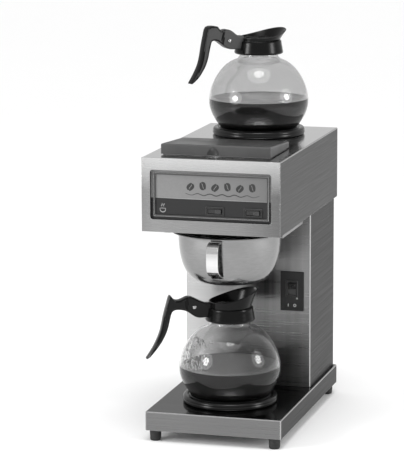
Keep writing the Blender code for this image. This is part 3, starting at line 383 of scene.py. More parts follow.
def panel_print_and_sheen_look():
    """The printed panel: a light band over a dark one, with a painted sheen from side to side."""
    look = Look("front_panel", grey(0.2), 0.0, 0.34, Specular_IOR_Level=0.35)
    across = look.axis("X", MIDDLE_X - PANEL_HALF_WIDTH, MIDDLE_X + PANEL_HALF_WIDTH)
    # Painted sheen: the light band is lighter at the left and darker at the right.
    light = look.ramp(across, [(0.0, 0.22), (0.35, 0.205), (0.7, 0.18), (1.0, 0.15)])
    grain = look.noise(300.0, detail=2.0)
    light = look.mix(look.spread(grain, 0.0, 0.2), light, grey(0.15))
    upper = look.axis("Z", PANEL_BAND_EDGE - 0.3 * MM, PANEL_BAND_EDGE + 0.3 * MM)
    look.paint(look.mix(upper, (0.016, 0.016, 0.0165), light))
    look.vary_roughness(grain, 0.28, 0.4)
    return look.material


COLUMN = column_painted_reflections_look()
BEZEL = bezel_painted_light_look()
# Both decanters are the same clear glass; the upper one's darker tint is painted shade.
GLASS = {
    "lower": glass_look("lower_glass", 0.86, 1.36),
    "upper": glass_look("upper_glass", 0.70, 1.44),
}
COFFEE = coffee_look()
# The surfaces' grey tones, much lighter on the upper one, are painted reflections of the room.
COFFEE_SURFACE_PAINTED_REFLECTION = {
    "lower": painted_reflection_surface_look("lower_coffee_surface_painted_reflection", 0.06),
    "upper": painted_reflection_surface_look("upper_coffee_surface_painted_reflection", 0.42),
}
PANEL = panel_print_and_sheen_look()

# ---------------------------------------------------------------- making pieces


# Points nearer to each other than these become one.
MERGE_DISTANCE = 0.004 * MM
CAD_MERGE_DISTANCE = 0.01 * MM
SHORTEST_EDGE = 1e-7


def add_piece(name, mesh, body, materials, nodes=(), sharp=40.0):
    """A visible piece that rides on a body and takes the place of nodes; sharp is in degrees."""
    piece = bpy.data.objects.new(name, mesh)
    bpy.context.scene.collection.objects.link(piece)
    mesh.materials.clear()
    for material in materials:
        mesh.materials.append(material)
    mesh.shade_smooth()
    mesh.set_sharp_from_angle(angle=math.radians(sharp))
    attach(piece, body)
    if nodes:
        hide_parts(*nodes)
    return piece


def new_mesh(name, points, faces, matrix=None):
    """A mesh with its doubled points merged and its faces turned outwards."""
    mesh = bpy.data.meshes.new(name)
    mesh.from_pydata([tuple(point) for point in points], [], faces)
    shape = bmesh.new()
    shape.from_mesh(mesh)
    bmesh.ops.remove_doubles(shape, verts=shape.verts, dist=MERGE_DISTANCE)
    bmesh.ops.recalc_face_normals(shape, faces=shape.faces)
    if matrix:
        shape.transform(matrix)
    shape.to_mesh(mesh)
    shape.free()
    return mesh


def mesh_from(shape, name):
    """Turns a finished bmesh into a mesh."""
    mesh = bpy.data.meshes.new(name)
    shape.to_mesh(mesh)
    shape.free()
    return mesh


def apply_modifiers(piece):
    graph = bpy.context.evaluated_depsgraph_get()
    graph.update()
    mesh = bpy.data.meshes.new_from_object(piece.evaluated_get(graph))
    piece.modifiers.clear()
    piece.data = mesh


def flatten_shading(piece):
    """Large faces keep their own normals, so that rounded edges do not shade them."""
    weighted = piece.modifiers.new("Normals", "WEIGHTED_NORMAL")
    weighted.keep_sharp = True
    apply_modifiers(piece)


def soften(piece, width, angle, edge_slot):
    """Rounds the edges that are sharper than an angle, with a material of their own."""
    bevel = piece.modifiers.new("Bevel", "BEVEL")
    bevel.width = width
    bevel.segments = 2
    bevel.limit_method = "ANGLE"
    bevel.angle_limit = math.radians(angle)
    bevel.material = edge_slot
    flatten_shading(piece)


EDGE_SLOT = 3
# How much of an axis the normal of a face square to it has, and what counts as flat.
SQUARE_ON = 0.995
FLAT_ANGLE = math.radians(0.6)


def refine(node, body, looks, width=0.3 * MM, angle=50.0):
    """A node's own shape with softer edges; looks are for faces along X, Y, Z and for edges."""
    shape = bmesh.new()
    shape.from_mesh(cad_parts[node].data)
    bmesh.ops.remove_doubles(shape, verts=shape.verts, dist=CAD_MERGE_DISTANCE)
    bmesh.ops.dissolve_limit(shape, angle_limit=FLAT_ANGLE, verts=shape.verts, edges=shape.edges)
    for face in shape.faces:
        sizes = [abs(value) for value in face.normal]
        largest = max(sizes)
        face.material_index = sizes.index(largest) if largest > SQUARE_ON else EDGE_SLOT
    mesh = mesh_from(shape, node)
    indices = [polygon.material_index for polygon in mesh.polygons]
    piece = add_piece(f"{node}_finish", mesh, body, looks, [node], sharp=angle)
    for polygon, index in zip(piece.data.polygons, indices):
        polygon.material_index = index
    if width:
        soften(piece, width, angle, EDGE_SLOT)
    else:
        flatten_shading(piece)


def curve_through(points, steps):
    """Points on a smooth curve through the given ones, with steps points to each span."""
    points = [Vector(point) for point in points]
    found = []
    for i in range(len(points) - 1):
        p0, p1 = points[max(i - 1, 0)], points[i]
        p2, p3 = points[i + 1], points[min(i + 2, len(points) - 1)]
        slope = p2 - p0
        bend = 2 * p0 - 5 * p1 + 4 * p2 - p3
        twist = 3 * p1 - p0 - 3 * p2 + p3
        for k in range(steps):
            t = k / steps
            found.append(0.5 * (2 * p1 + slope * t + bend * t**2 + twist * t**3))
    return found + [points[-1]]


def turned(profile, steps, closed, matrix=None):
    """Revolves an outline of (radius, height), in mm, that is closed or ends on the axis."""
    count = len(profile)
    points, faces = [], []
    for i in range(steps):
        angle = 2 * math.pi * i / steps
        for radius, height in profile:
            across = radius * math.cos(angle) * MM
            along = radius * math.sin(angle) * MM
            points.append((across, along, height * MM))
    for i in range(steps):
        j = (i + 1) % steps
        for k in range(count if closed else count - 1):
            m = (k + 1) % count
            faces.append((i * count + k, j * count + k, j * count + m, i * count + m))
    return new_mesh("turned", points, drop_flat(points, faces), matrix)


def drop_flat(points, faces):
    """Leaves out faces that shrink to nothing on the axis."""
    points = [Vector(point) for point in points]
    kept = []
    for face in faces:
        corners = []
        for index in face:
            if all((points[index] - points[other]).length > SHORTEST_EDGE for other in corners):
                corners.append(index)
        if len(corners) > 2:
            kept.append(tuple(corners))
    return kept


def loft(rings, capped, matrix):
    """A skin over rings with the same number of points."""
    count = len(rings[0])
    points = [point for ring in rings for point in ring]
    faces = []
    for level in range(len(rings) - 1):
        near, far = level * count, (level + 1) * count
        for i in range(count):
            j = (i + 1) % count
            faces.append((near + i, near + j, far + j, far + i))
    if capped:
        faces.append(tuple(range(count)))
        faces.append(tuple(range(len(points) - count, len(points))))
    return new_mesh("loft", points, faces, matrix)


WIRE_SIDES = 10


def wire_rings(route, radius, cyclic=False):
    """Rings for a round wire along a route."""
    route = [Vector(point) for point in route]
    rings = []
    last = None
    count = len(route)
    angles = [2 * math.pi * k / WIRE_SIDES for k in range(WIRE_SIDES)]
    for i, point in enumerate(route):
        before = route[i - 1] if cyclic or i else point
        after = route[(i + 1) % count] if cyclic or i < count - 1 else point
        along = (after - before).normalized()
        if last is None:
            last = along.orthogonal().normalized()
        last = (last - along * last.dot(along)).normalized()
        side = along.cross(last)
        rings.append([point + (last * math.cos(a) + side * math.sin(a)) * radius for a in angles])
    if cyclic:
        rings.append(rings[0])
    return rings


def block_mesh(low, high):
    """A plain block, used to cut with and for flat marks."""
    shape = bmesh.new()
    bmesh.ops.create_cube(shape, size=1.0)
    low, high = Vector(low), Vector(high)
    for vertex in shape.verts:
        vertex.co = low + (vertex.co + Vector((0.5, 0.5, 0.5))) * (high - low)
    return mesh_from(shape, "block")


def cut(piece, mesh):
    """Takes a mesh away from a piece, for good."""
    cutter = bpy.data.objects.new("cutter", mesh)
    bpy.context.scene.collection.objects.link(cutter)
    cutter.hide_render = True
    boolean = piece.modifiers.new("Boolean", "BOOLEAN")
    boolean.solver = "EXACT"
    boolean.object = cutter
    apply_modifiers(piece)
    bpy.data.objects.remove(cutter)


def join_meshes(name, meshes):
    shape = bmesh.new()
    for mesh in meshes:
        shape.from_mesh(mesh)
    return mesh_from(shape, name)


# ---------------------------------------------------------------- cabinet

INNER_LOOKS = [STEEL_INNER] * 3 + [STEEL_EDGE_PAINTED_HIGHLIGHT]
# Nodes that keep the CAD model's mesh, under the material that they get.
PLAIN_NODES = {
    STEEL_INNER: [
        "base_bottom_plate",
        "water_tank",
        "tank_lid",
        "tank_stand",
        "lower_warmer_heater",
        "upper_warmer_heater",
        "spray_nut",
    ],
    CHROME: ["lid_hinge_pin", "tank_heater", "thermostat_probe"],
    SILICONE: ["tank_gasket", "fill_tube", "outlet_tube"],
    PANEL: ["graphics_panel"],
}


def dress_cabinet():
    """The sheet metal and the switches."""
    # Each facing takes its own copy of the steel, which paints its light or shade, and the rounded
    # edges take painted highlights.
    looks = [STEEL_SIDE_PAINTED_SHADE, STEEL_FRONT_PAINTED_LIGHT, STEEL_DECK_PAINTED_LIGHT, STEEL_EDGE_PAINTED_HIGHLIGHT]
    refine("head_shell", "cabinet", looks)
    looks = [STEEL_SIDE_PAINTED_SHADE, BEZEL, BEZEL, STEEL_EDGE_PAINTED_HIGHLIGHT]
    refine("head_front_frame", "cabinet", looks)
    looks = [STEEL_BASE_SIDE_PAINTED_SHADE, STEEL_BASE_FRONT_PAINTED_SHADE, STEEL_BASE_TOP_PAINTED_SHADE, STEEL_EDGE_PAINTED_HIGHLIGHT]
    refine("base_shell", "cabinet", looks)
    looks = [STEEL_COLUMN_SIDE_PAINTED_SHADE, COLUMN, STEEL_FRONT_PAINTED_LIGHT, STEEL_EDGE_PAINTED_HIGHLIGHT]
    refine("column_front", "cabinet", looks)
    refine("rear_panel", "cabinet", [STEEL_REAR] * 3 + [STEEL_EDGE_PAINTED_HIGHLIGHT])
    refine("head_floor", "cabinet", [STEEL_INNER] * 4)
    for side in ("left", "right"):
        refine(f"basket_rail_{side}", "cabinet", INNER_LOOKS, 0.2 * MM)
    refine("panel_trim", "cabinet", [TRIM_PAINTED_SHADE] * 3 + [TRIM_PAINTED_HIGHLIGHT], 0.0)
    refine("switch_plate", "cabinet", [SWITCH_BLACK] * 4, 0.3 * MM)
    looks = [SWITCH_BLACK] * 3 + [SWITCH_EDGE_PAINTED_HIGHLIGHT]
    for name in ("brew", "lower_warmer", "upper_warmer"):
        refine(f"{name}_switch_housing", "cabinet", looks, 0.5 * MM)
        body = f"{name}_switch"
        refine(f"{name}_rocker", body, [ROCKER_BLACK] * 4, 0.4 * MM, 25.0)
    refine("lid_hinge_bracket", "cabinet", [STEEL_INNER] * 4, 0.0, 30.0)
    refine("pour_basin", "cabinet", INNER_LOOKS, 0.25 * MM)
    for material, names in PLAIN_NODES.items():
        for name in names:
            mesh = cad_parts[name].data
            mesh.materials.clear()
            mesh.materials.append(material)


# Outlines are (radius, height) in mm; the foot's runs from its top to the floor.
FOOT_OUTLINE = [
    *((0, 17), (8.2, 17), (8.8, 16.6), (9, 16), (8.9, 12.4), (8.5, 12.0), (8.5, 11.4)),
    *((8.8, 11.0), (8.5, 3.0), (8.2, 1.4), (7.6, 0.4), (6.8, 0), (0, 0)),
]


def dress_feet():
    for end in ("front", "rear"):
        for side in ("left", "right"):
            node = f"foot_{end}_{side}"
            at = middle(node)
            mesh = turned(FOOT_OUTLINE[::-1], 40, False, Matrix.Translation((at.x, at.y, 0)))
            add_piece(f"{node}_rubber", mesh, "cabinet", [RUBBER], [node], 50)


# The bush's ribs, then its flange against the sheet, and the part inside.
BUSH_RIBS = [
    (radius, height - 1.9 * rib)
    for rib in range(3)
    for radius, height in ((7.4, 15.8), (7.9, 15.4), (7.9, 14.6), (7.4, 14.2))
]
BUSH_OUTLINE = [
    *((5.0, 17), (6.6, 17), (7.2, 16.6)),
    *BUSH_RIBS,
    *((8.1, 9.9), (9.0, 10.6), (11.0, 10.4), (11.5, 9.8), (11.5, 8.3), (8.0, 8.3)),
    *((8.0, 0), (4.2, 0), (4.2, 16.4)),
]


def rear_seat(node):
    """Where a fitting sits on the rear sheet, turned so that its top looks along +Y."""
    low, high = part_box(node)
    at = ((low.x + high.x) / 2, low.y, (low.z + high.z) / 2)
    return Matrix.Translation(at) @ Matrix.Rotation(-math.pi / 2, 4, "X")


def dress_rear():
    """Rear screws with cross slots, and the ribbed bush."""
    for row in ("lower", "upper"):
        for side in ("left", "right"):
            node = f"rear_screw_{row}_{side}"
            screw_head(f"{node}_slotted", rear_seat(node), 3.6, 1.9, "cabinet", node)
    mesh = turned(BUSH_OUTLINE, 48, True, rear_seat("cord_gland"))
    looks = [PLASTIC]
    add_piece("cord_gland_ribbed", mesh, "cabinet", looks, ["cord_gland"])


SLOT_HALF_WIDTH = 0.42 * MM
SLOT_REACH = 0.62  # of the head's radius
DOME_START = 0.35  # of the head's height


def screw_head(name, matrix, radius, height, body, node):
    """A domed head with a cross slot, its seat at the matrix's origin and its top along +Z."""
    base = height * DOME_START
    rise = height * (1 - DOME_START)
    dome = [(radius * math.cos(a), base + rise * math.sin(a)) for a in (0, 0.3, 0.6, 0.9, 1.2)]
    mesh = turned([(0, 0), (radius, 0), *dome, (0, height)], 40, False)
    piece = add_piece(name, mesh, body, [SCREW_STEEL], [node])
    reach, half = radius * SLOT_REACH * MM, SLOT_HALF_WIDTH
    for x, y in ((reach, half), (half, reach)):
        cut(piece, block_mesh((-x, -y, height * 0.5 * MM), (x, y, 5 * MM)))
    piece.data.transform(matrix)


WARMER_RING = [
    *((66.2, 11.6), (67.6, 11.65), (69.4, 11.4), (70.8, 10.9), (71.8, 10.0), (72.6, 8.8)),
    *((72.8, 7.8), (72.4, 6.9), (72.2, 6.3), (72.6, 5.6), (73.0, 4.6), (72.9, 3.2)),
    *((72.2, 1.8), (71.4, 0.8), (70.6, 0.3), (64.0, 0.3), (64.0, 10.4), (64.6, 11.2)),
]
# The plate has two shallow pressed rings.
WARMER_PLATE = [
    *((0, 12), (20, 12), (20.6, 11.7), (21.2, 11.7), (21.8, 12)),
    *((44, 12), (44.6, 11.7), (45.2, 11.7), (45.8, 12)),
    *((62.0, 12), (63.0, 11.7), (63.6, 11.0), (63.6, 9.8), (0, 9.8)),
]


def dress_warmers():
    for name, surface in (("lower", BASE_TOP), ("upper", DECK)):
        at = middle(f"{name}_warmer_ring")
        place = Matrix.Translation((at.x, at.y, surface))
        for part, outline, steps, closed in (
            ("ring", WARMER_RING, 128, True),
            ("plate", WARMER_PLATE, 96, False),
        ):
            node = f"{name}_warmer_{part}"
            mesh = turned(outline, steps, closed, place)
            add_piece(f"{node}_enamel", mesh, "cabinet", [ENAMEL], [node])


# Print stands this far out from the panel, and starts this far out so that the faces never touch.
PRINT_THICKNESS = 0.12 * MM
PRINT_GAP = 0.01 * MM
# Half a coffee bean, from its middle, in mm.
BEAN_CRESCENT = [(-0.9, -5.6), (-3.3, -2.4), (-2.1, 2.2), (-0.5, 6.0)]
BEAN_COUNT = 6
# Strokes as (points, width), in mm from the panel's middle and the head's bottom.
CUP_STROKES = [
    ([(-79.5, 35.5), (-78.5, 31.5), (-75, 29.8), (-71.5, 31.5), (-70.5, 35.5)], 1.2),
    ([(-79.5, 35.5), (-75, 35.7), (-70.5, 35.5)], 0.9),
    ([(-76.3, 38), (-77.2, 40), (-75.6, 41.5), (-76.4, 43.5)], 0.9),
    ([(-73.3, 38), (-74.2, 40), (-72.6, 41.5), (-73.4, 43.5)], 0.9),
]
DIVIDER = ([(-86, 51.2), (0, 51.2), (86, 51.2)], 0.7)


def printed(points, width):
    """A flat ribbon with tapered ends, standing just proud of the panel."""
    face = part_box("graphics_panel")[0].y
    path = curve_through([(*point, 0) for point in points], 10)
    left, right = [], []
    for i, point in enumerate(path):
        along = (path[min(i + 1, len(path) - 1)] - path[max(i - 1, 0)]).normalized()
        share = math.sin(math.pi * min(max(i / (len(path) - 1), 0.04), 0.96))
        aside = Vector((-along.y, along.x, 0)) * width * (0.35 + 0.65 * share) / 2
        left.append(point + aside)
        right.append(point - aside)
    outline = left + right[::-1]
    count, total = len(path), len(outline)
    points = [
        (MIDDLE_X + p.x * MM, face - PRINT_THICKNESS, HEAD_BOTTOM + p.y * MM) for p in outline
    ]
    points += [(p[0], face - PRINT_GAP, p[2]) for p in points]
    faces = [(i, i + 1, total - 2 - i, total - 1 - i) for i in range(count - 1)]
    faces += [tuple(index + total for index in reversed(face)) for face in faces]
    faces += [(i, (i + 1) % total, (i + 1) % total + total, i + total) for i in range(total)]
    return new_mesh("strip", points, faces)


def bean(x, z, tilt):
    """A coffee bean from two crescents, with the crease left open between them."""
    turn = Matrix.Rotation(math.radians(tilt), 2)
    at = Vector((x, z))
    halves = [BEAN_CRESCENT, [(-u, -v) for u, v in BEAN_CRESCENT]]
    return [printed([tuple(turn @ Vector(p) + at) for p in half], 4.6) for half in halves]


def dress_panel():
    """Generic print: a row of coffee beans over a wave, a divider line and a steaming cup."""
    strokes = []
    for k in range(BEAN_COUNT):
        strokes += bean(-32 + 19 * k, 69.5 + 2.0 * (k % 2), 30 if k % 2 else -24)
    wave = [(-40 + 9.5 * k, 58.6 + 1.3 * (-1) ** k) for k in range(13)]
    strokes.append(printed(wave, 1.5))
    ink = moulded("panel_ink", 0.022, 0.4, 500.0, 0.02)
    mesh = join_meshes("panel_flourish", strokes)
    add_piece("panel_flourish", mesh, "cabinet", [ink])
    mesh = join_meshes("panel_marks", [printed(*stroke) for stroke in (DIVIDER, *CUP_STROKES)])
    ink = moulded("panel_grey_ink", 0.34, 0.42, 500.0, 0.02)
    add_piece("panel_marks", mesh, "cabinet", [ink])


LAMP_OUTLINE = [(0, 0), (1.5, 0), (1.5, 0.4), (1.25, 0.8), (0.8, 1.1), (0.4, 1.25), (0, 1.3)]
MARK_LOW, MARK_HIGH = 0.02, 0.15
RING_MARK_INNER, RING_MARK_OUTER = 1.5, 2.3
BAR_MARK_HALF_WIDTH = 0.45


def on_front(at):
    """A place on a face that looks along -Y, with +Z turned to look that way too."""
    return Matrix.Translation(at) @ Matrix.Rotation(math.pi / 2, 4, "X")


def ring_mark(centre):
    """The usual ring for off."""
    profile = [(RING_MARK_INNER, MARK_LOW), (RING_MARK_OUTER, MARK_LOW)]
    profile += [(RING_MARK_OUTER, MARK_HIGH), (RING_MARK_INNER, MARK_HIGH)]
    return turned(profile, 32, True, on_front(centre))


def bar_mark(centre):
    """The usual bar for on, as tall as the ring."""
    half_width, half_height = BAR_MARK_HALF_WIDTH * MM, RING_MARK_OUTER * MM
    low = (-half_width, -half_height, MARK_LOW * MM)
    mesh = block_mesh(low, (half_width, half_height, MARK_HIGH * MM))
    mesh.transform(on_front(centre))
    return mesh


def dress_switches():
    """Generic on and off marks, and a small lamp beside the brew switch."""
    low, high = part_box("switch_plate")
    meshes = []
    for share, make in ((0.34, bar_mark), (0.62, ring_mark)):
        meshes.append(make(Vector((low.x + (high.x - low.x) * share, low.y, low.z + 9.0 * MM))))
    mesh = join_meshes("marks", meshes)
    add_piece("brew_switch_marks", mesh, "cabinet", [WHITE_PRINT])
    lamp = Look("lamp_lens", (0.75, 0.75, 0.74), 0.0, 0.12, Transmission_Weight=0.35)
    lamp.bump(lamp.noise(900.0), 0.2, MOULDED_RELIEF)
    house_low, house_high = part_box("brew_switch_housing")
    place = on_front((house_high.x - 1.5 * MM, low.y, house_low.z - 2.2 * MM))
    mesh = turned(LAMP_OUTLINE, 32, False, place)
    add_piece("brew_lamp", mesh, "cabinet", [lamp.material])


def dress_lid():
    looks = [LID_PAINTED_SHADE, LID_FRONT_PAINTED_LIGHT, LID_PAINTED_SHADE, LID_FRONT_PAINTED_LIGHT]
    refine("pour_lid", "lid", looks, 0.0, 30.0)


SPRAY_OUTLINE = [
    *((0, 9), (4.4, 9), (5, 8.4), (5, -0.3), (12, -0.3), (18, -2.0), (24, -4.2)),
    *((25.6, -5.2), (26, -6.4), (26, -7.4), (25.4, -8.0), (18, -8.3), (0, -8.6)),
]


def dress_spray():
    at = middle("sprayhead")
    place = Matrix.Translation((at.x, at.y, HEAD_BOTTOM))
    mesh = turned(SPRAY_OUTLINE, 72, False, place)
    add_piece("sprayhead_disc", mesh, "cabinet", [CHROME], ["sprayhead"])


# ---------------------------------------------------------------- basket

# Depth, the radius of the foot, how much wider the mouth is, and the sheet's thickness, in mm.
BASKET_DEPTH, BASKET_FOOT, BASKET_SWELL, BASKET_SHEET = 79.0, 46.0, 32.5, 1.1
BASKET_ROUNDNESS = 2.6
# Heights from the basket's rim down, in mm.
BASKET_LEVELS = [-6.0 - 3.0 * k for k in range(22)] + [-71.5, -74, -76, -77.6, -78.6]
BASKET_RIM = [
    *((88.6, 0.0), (89.6, -0.5), (90.0, -1.2), (89.7, -2.0), (88.8, -2.4), (81.0, -2.3)),
    (79.4, -3.0),
]
BASKET_BOTTOM = [
    *((46.0, -79.0), (40.0, -79.0), (39.0, -78.4), (6.0, -78.4), (4.5, -79.0)),
    *((4.5, -78.0), (6.0, -77.6), (39.0, -77.6), (45.4, -77.9)),
]
BASKET_MOUTH = [(78.2, -1.6), (79.6, -0.2), (81.0, 0.0)]
RACK_CLEARANCE = 4.0
RACK_WIRES, HOOP_STEPS = 24, 96
RACK_WIRE_RADIUS, HOOP_RADIUS = 1.0 * MM, 1.25 * MM
RACK_LEVELS = (-8, -20, -32, -44, -54, -62, -69, -75)


def wall_radius(z):
    """The basket's outer radius at a height under its rim, in mm."""
    fall = min(max(-z / BASKET_DEPTH, 0.0), 1.0)
    return BASKET_FOOT + BASKET_SWELL * math.sqrt(max(1.0 - fall**BASKET_ROUNDNESS, 0.0))


def rack_point(angle, z):
    radius = (wall_radius(z) - RACK_CLEARANCE) * MM
    return (radius * math.cos(angle), radius * math.sin(angle), z * MM)


def dress_basket():
    """The bowl with its rolled rim, the wire rack inside and the strap handle."""
    at = middle("basket_bowl")
    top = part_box("basket_bowl")[1].z
    place = Matrix.Translation((at.x, at.y, top))
    outside = [(wall_radius(z), z) for z in BASKET_LEVELS]
    inside = [(wall_radius(z) - BASKET_SHEET, z + 0.4) for z in reversed(BASKET_LEVELS)]
    profile = BASKET_RIM + outside + BASKET_BOTTOM + inside + BASKET_MOUTH
    mesh = turned(profile, 120, True, place)
    looks = [BOWL_STEEL]
    add_piece("basket_bowl_steel", mesh, "basket", looks, ["basket_bowl"])
    meshes = []
    for i in range(RACK_WIRES):
        angle = 2 * math.pi * (i + 0.5) / RACK_WIRES
        route = curve_through([rack_point(angle, z) for z in RACK_LEVELS], 3)
        meshes.append(loft(wire_rings(route, RACK_WIRE_RADIUS), True, place))
    for z in (RACK_LEVELS[0], RACK_LEVELS[-1]):
        turn = 2 * math.pi / HOOP_STEPS
        route = [rack_point(step * turn, z) for step in range(HOOP_STEPS)]
        meshes.append(loft(wire_rings(route, HOOP_RADIUS, cyclic=True), False, place))
    mesh = join_meshes("rack", meshes)
    looks = [CHROME]
    add_piece("basket_rack_wires", mesh, "basket", looks, ["basket_wire_rack"])
    refine("basket_handle", "basket", [CHROME] * 4, 0.4 * MM)


# ---------------------------------------------------------------- decanters

# The glass's outside from its mouth down, as (radius, height) in mm.
GLASS_NECK = [(30.2, 150.6), (30.2, 140.0), (30.2, 130.0), (30.4, 125.0)]
GLASS_BOWL = [
    (33.5, 119.6),
    (43.5, 115.0),
    (52.5, 108.8),
    (60.5, 100.4),
    (67.5, 90.2),
    (72.6, 80.0),
    (76.4, 69.0),
    (78.2, 58.0),
    (78.0, 47.0),
    (75.6, 36.8),
    (71.4, 27.5),
    (65.6, 18.2),
    (62.6, 14.0),
    (58.5, 12.4),
]
GLASS_BOTTOM = [
    *((57.0, 12.3), (40, 12.8), (0, 13.2)),
    *((0, 15.0), (40, 14.7), (56.0, 14.6), (58.8, 15.0)),
]
GLASS_MOUTH = [(28.1, 150.6), (28.8, 151.0), (29.6, 151.0)]
GLASS_WALL = 2.1
GLASS_INNER_FLOOR = 15.2
COFFEE_BOTTOM = [(0, 15.3), (40, 15.0), (56.0, 15.0), (58.4, 15.4)]
# The coffee reaches into the wall, so that no thin layer of air shows between the two.
COFFEE_OVERLAP = 0.7


def glass_profile():
    """(radius, height) down the outside and down the inside, in mm."""
    route = curve_through([(*point, 0) for point in GLASS_NECK + GLASS_BOWL], 4)
    outside = [tuple(point)[:2] for point in route]
    inside = []
    for i, (radius, height) in enumerate(outside):
        before, after = outside[max(i - 1, 0)], outside[min(i + 1, len(outside) - 1)]
        along = Vector((after[0] - before[0], after[1] - before[1])).normalized()
        inside.append((radius + along.y * GLASS_WALL, height - along.x * GLASS_WALL))
    return outside, [point for point in inside if point[1] > GLASS_INNER_FLOOR]


def wall_at(inside, height):
    """The radius of the inside at a height."""
    for (r0, h0), (r1, h1) in zip(inside, inside[1:]):
        if min(h0, h1) <= height <= max(h0, h1):
            return r0 + (r1 - r0) * (height - h0) / (h1 - h0)
    return inside[-1][0]


def dress_glass(name, place):
    """The glass and the coffee in it; gives the inside's outline."""
    outside, inside = glass_profile()
    body = f"{name}_decanter"
    mesh = turned(outside + GLASS_BOTTOM + inside[::-1] + GLASS_MOUTH, 128, True, place)
    nodes = [f"{body}_glass"]
    add_piece(f"{body}_glass_bowl", mesh, body, [GLASS[name]], nodes, 60)
    level = COFFEE_LEVEL
    side = [(radius + COFFEE_OVERLAP, height) for radius, height in inside if height < level]
    edge = wall_at(inside, level) + COFFEE_OVERLAP
    surface = [(edge, level - 0.1), (edge - 0.2, level + 0.2), (edge - 1.2, level - 0.3)]
    surface += [(edge - 3.5, level - 0.6), (0, level - 0.6)]
    mesh = turned(COFFEE_BOTTOM + side[::-1] + surface, 128, False, place)
    looks = [COFFEE, COFFEE_SURFACE_PAINTED_REFLECTION[name]]
    piece = add_piece(f"{body}_coffee", mesh, body, looks)
    surface_from = place.translation.z + (level - 2) * MM
    for polygon in piece.data.polygons:
        if polygon.normal.z > 0.6 and polygon.center.z > surface_from:
            polygon.material_index = 1
    return inside


DROPS = 240
DROP_MIDDLE, DROP_SPREAD = -160, 13  # degrees around the glass
DROP_HEIGHTS = (60, 104)
DROP_SIZES = (0.7, 2.0)
DROP_FLATNESS = 0.35


def dress_droplets(name, place, inside):
    """Drops of water on one side of the inside of the glass."""
    draw = random.Random(4)
    meshes = []
    for _ in range(DROPS):
        height = draw.uniform(*DROP_HEIGHTS)
        angle = math.radians(draw.gauss(DROP_MIDDLE, DROP_SPREAD))
        size = draw.uniform(*DROP_SIZES)
        radius = wall_at(inside, height) - 0.1 - size * DROP_FLATNESS
        turn = Matrix.Rotation(angle, 4, "Z")
        at = place @ turn @ Matrix.Translation((radius * MM, 0, height * MM))
        shape = bmesh.new()
        bmesh.ops.create_icosphere(shape, subdivisions=2, radius=size * MM)
        tall = 1.0 + draw.random() * 0.5
        shape.transform(at @ Matrix.Diagonal((DROP_FLATNESS, 0.8, tall, 1)))
        meshes.append(mesh_from(shape, "drop"))
    drop = Look("droplets", grey(0.9), 0.0, 0.08, Transmission_Weight=0.6, IOR=1.33)
    drop.vary_roughness(drop.noise(200.0), 0.0, 0.05)
    body = f"{name}_decanter"
    mesh = join_meshes("drops", meshes)
    add_piece(f"{body}_droplets", mesh, body, [drop.material], (), 80)


COLLAR_OUTLINE = [
    *((34.6, 148), (35.2, 147.8), (35.6, 147.2), (35.9, 145), (36.4, 141.5), (36.9, 139)),
    *((37.4, 136), (37.9, 133), (38.4, 130.6), (38.5, 129.6), (38.2, 128.4), (37.4, 127.6)),
    *((36.0, 127.1), (34.0, 127.2), (30.7, 128.5), (30.7, 148)),
]


def dress_collar(name, place):
    body = f"{name}_decanter"
    mesh = turned(COLLAR_OUTLINE, 96, True, place)
    nodes = [f"{body}_collar"]
    add_piece(f"{body}_collar_moulding", mesh, body, [PLASTIC], nodes)


SPOUT_FOOT_RADIUS, SPOUT_FOOT_HEIGHT = 33.0, 148.3
SPOUT_WALL = 2.0
SPOUT_SIDES, SPOUT_LEVELS = 72, 9
# How steeply the lip widens towards its tip, and up its height.
SPOUT_POINT, SPOUT_CURVE = 2.4, 1.1
# The rim, as (share of the height, distance inwards in mm).
SPOUT_RIM = ((0.96, 0.0), (0.985, 0.15), (1.0, 0.7), (1.0, 1.3), (0.985, 1.85))


def spout_ring(head, share, inwards):
    """A ring around the pouring lip, at a share of its height."""
    made = []
    for i in range(SPOUT_SIDES):
        angle = 2 * math.pi * i / SPOUT_SIDES
        forward = (1 + math.cos(angle)) / 2
        flare = (head["reach"] - SPOUT_FOOT_RADIUS) * forward**SPOUT_POINT
        rise = (head["high"] - head["low"]) * forward ** head["rise"]
        radius = SPOUT_FOOT_RADIUS + flare * share**SPOUT_CURVE - inwards
        height = SPOUT_FOOT_HEIGHT + (head["low"] + rise - SPOUT_FOOT_HEIGHT) * share
        made.append(Vector((radius * math.cos(angle), radius * math.sin(angle), height)) * MM)
    return made


def dress_spout(name, place):
    """The pouring lip: an open funnel with a rounded rim."""
    head = HEADS[name]
    body = f"{name}_decanter"
    levels = [k / SPOUT_LEVELS for k in range(SPOUT_LEVELS)]
    rings = [spout_ring(head, share, 0.0) for share in levels]
    rings += [spout_ring(head, share, inwards) for share, inwards in SPOUT_RIM]
    rings += [spout_ring(head, share, SPOUT_WALL) for share in reversed(levels)]
    rings.append(rings[0])
    mesh = loft(rings, False, place)
    nodes = [f"{body}_spout"]
    add_piece(f"{body}_spout_moulding", mesh, body, [PLASTIC], nodes, 60)


HANDLE_STEPS = 3  # smooth steps from one section to the next
HANDLE_HALF_WIDTH = 8.0
HANDLE_CORNER = 1.7
HANDLE_RIM = 1.9
HANDLE_ROOT = Vector((8.0, 0, 0)) * MM  # how far the handle goes on into the collar
PANEL_START, PANEL_END = 4.2, 2  # sections before the let-in side, and steps after it
PANEL_FADE = 4  # steps over which it ends
PANEL_DEPTH = 0.95
HANDLE_SIDE_SLOT, HANDLE_EDGE_SLOT = 1, 2
SCREW_PLACE = Vector((-56.5, -8.3, 150.5)) * MM


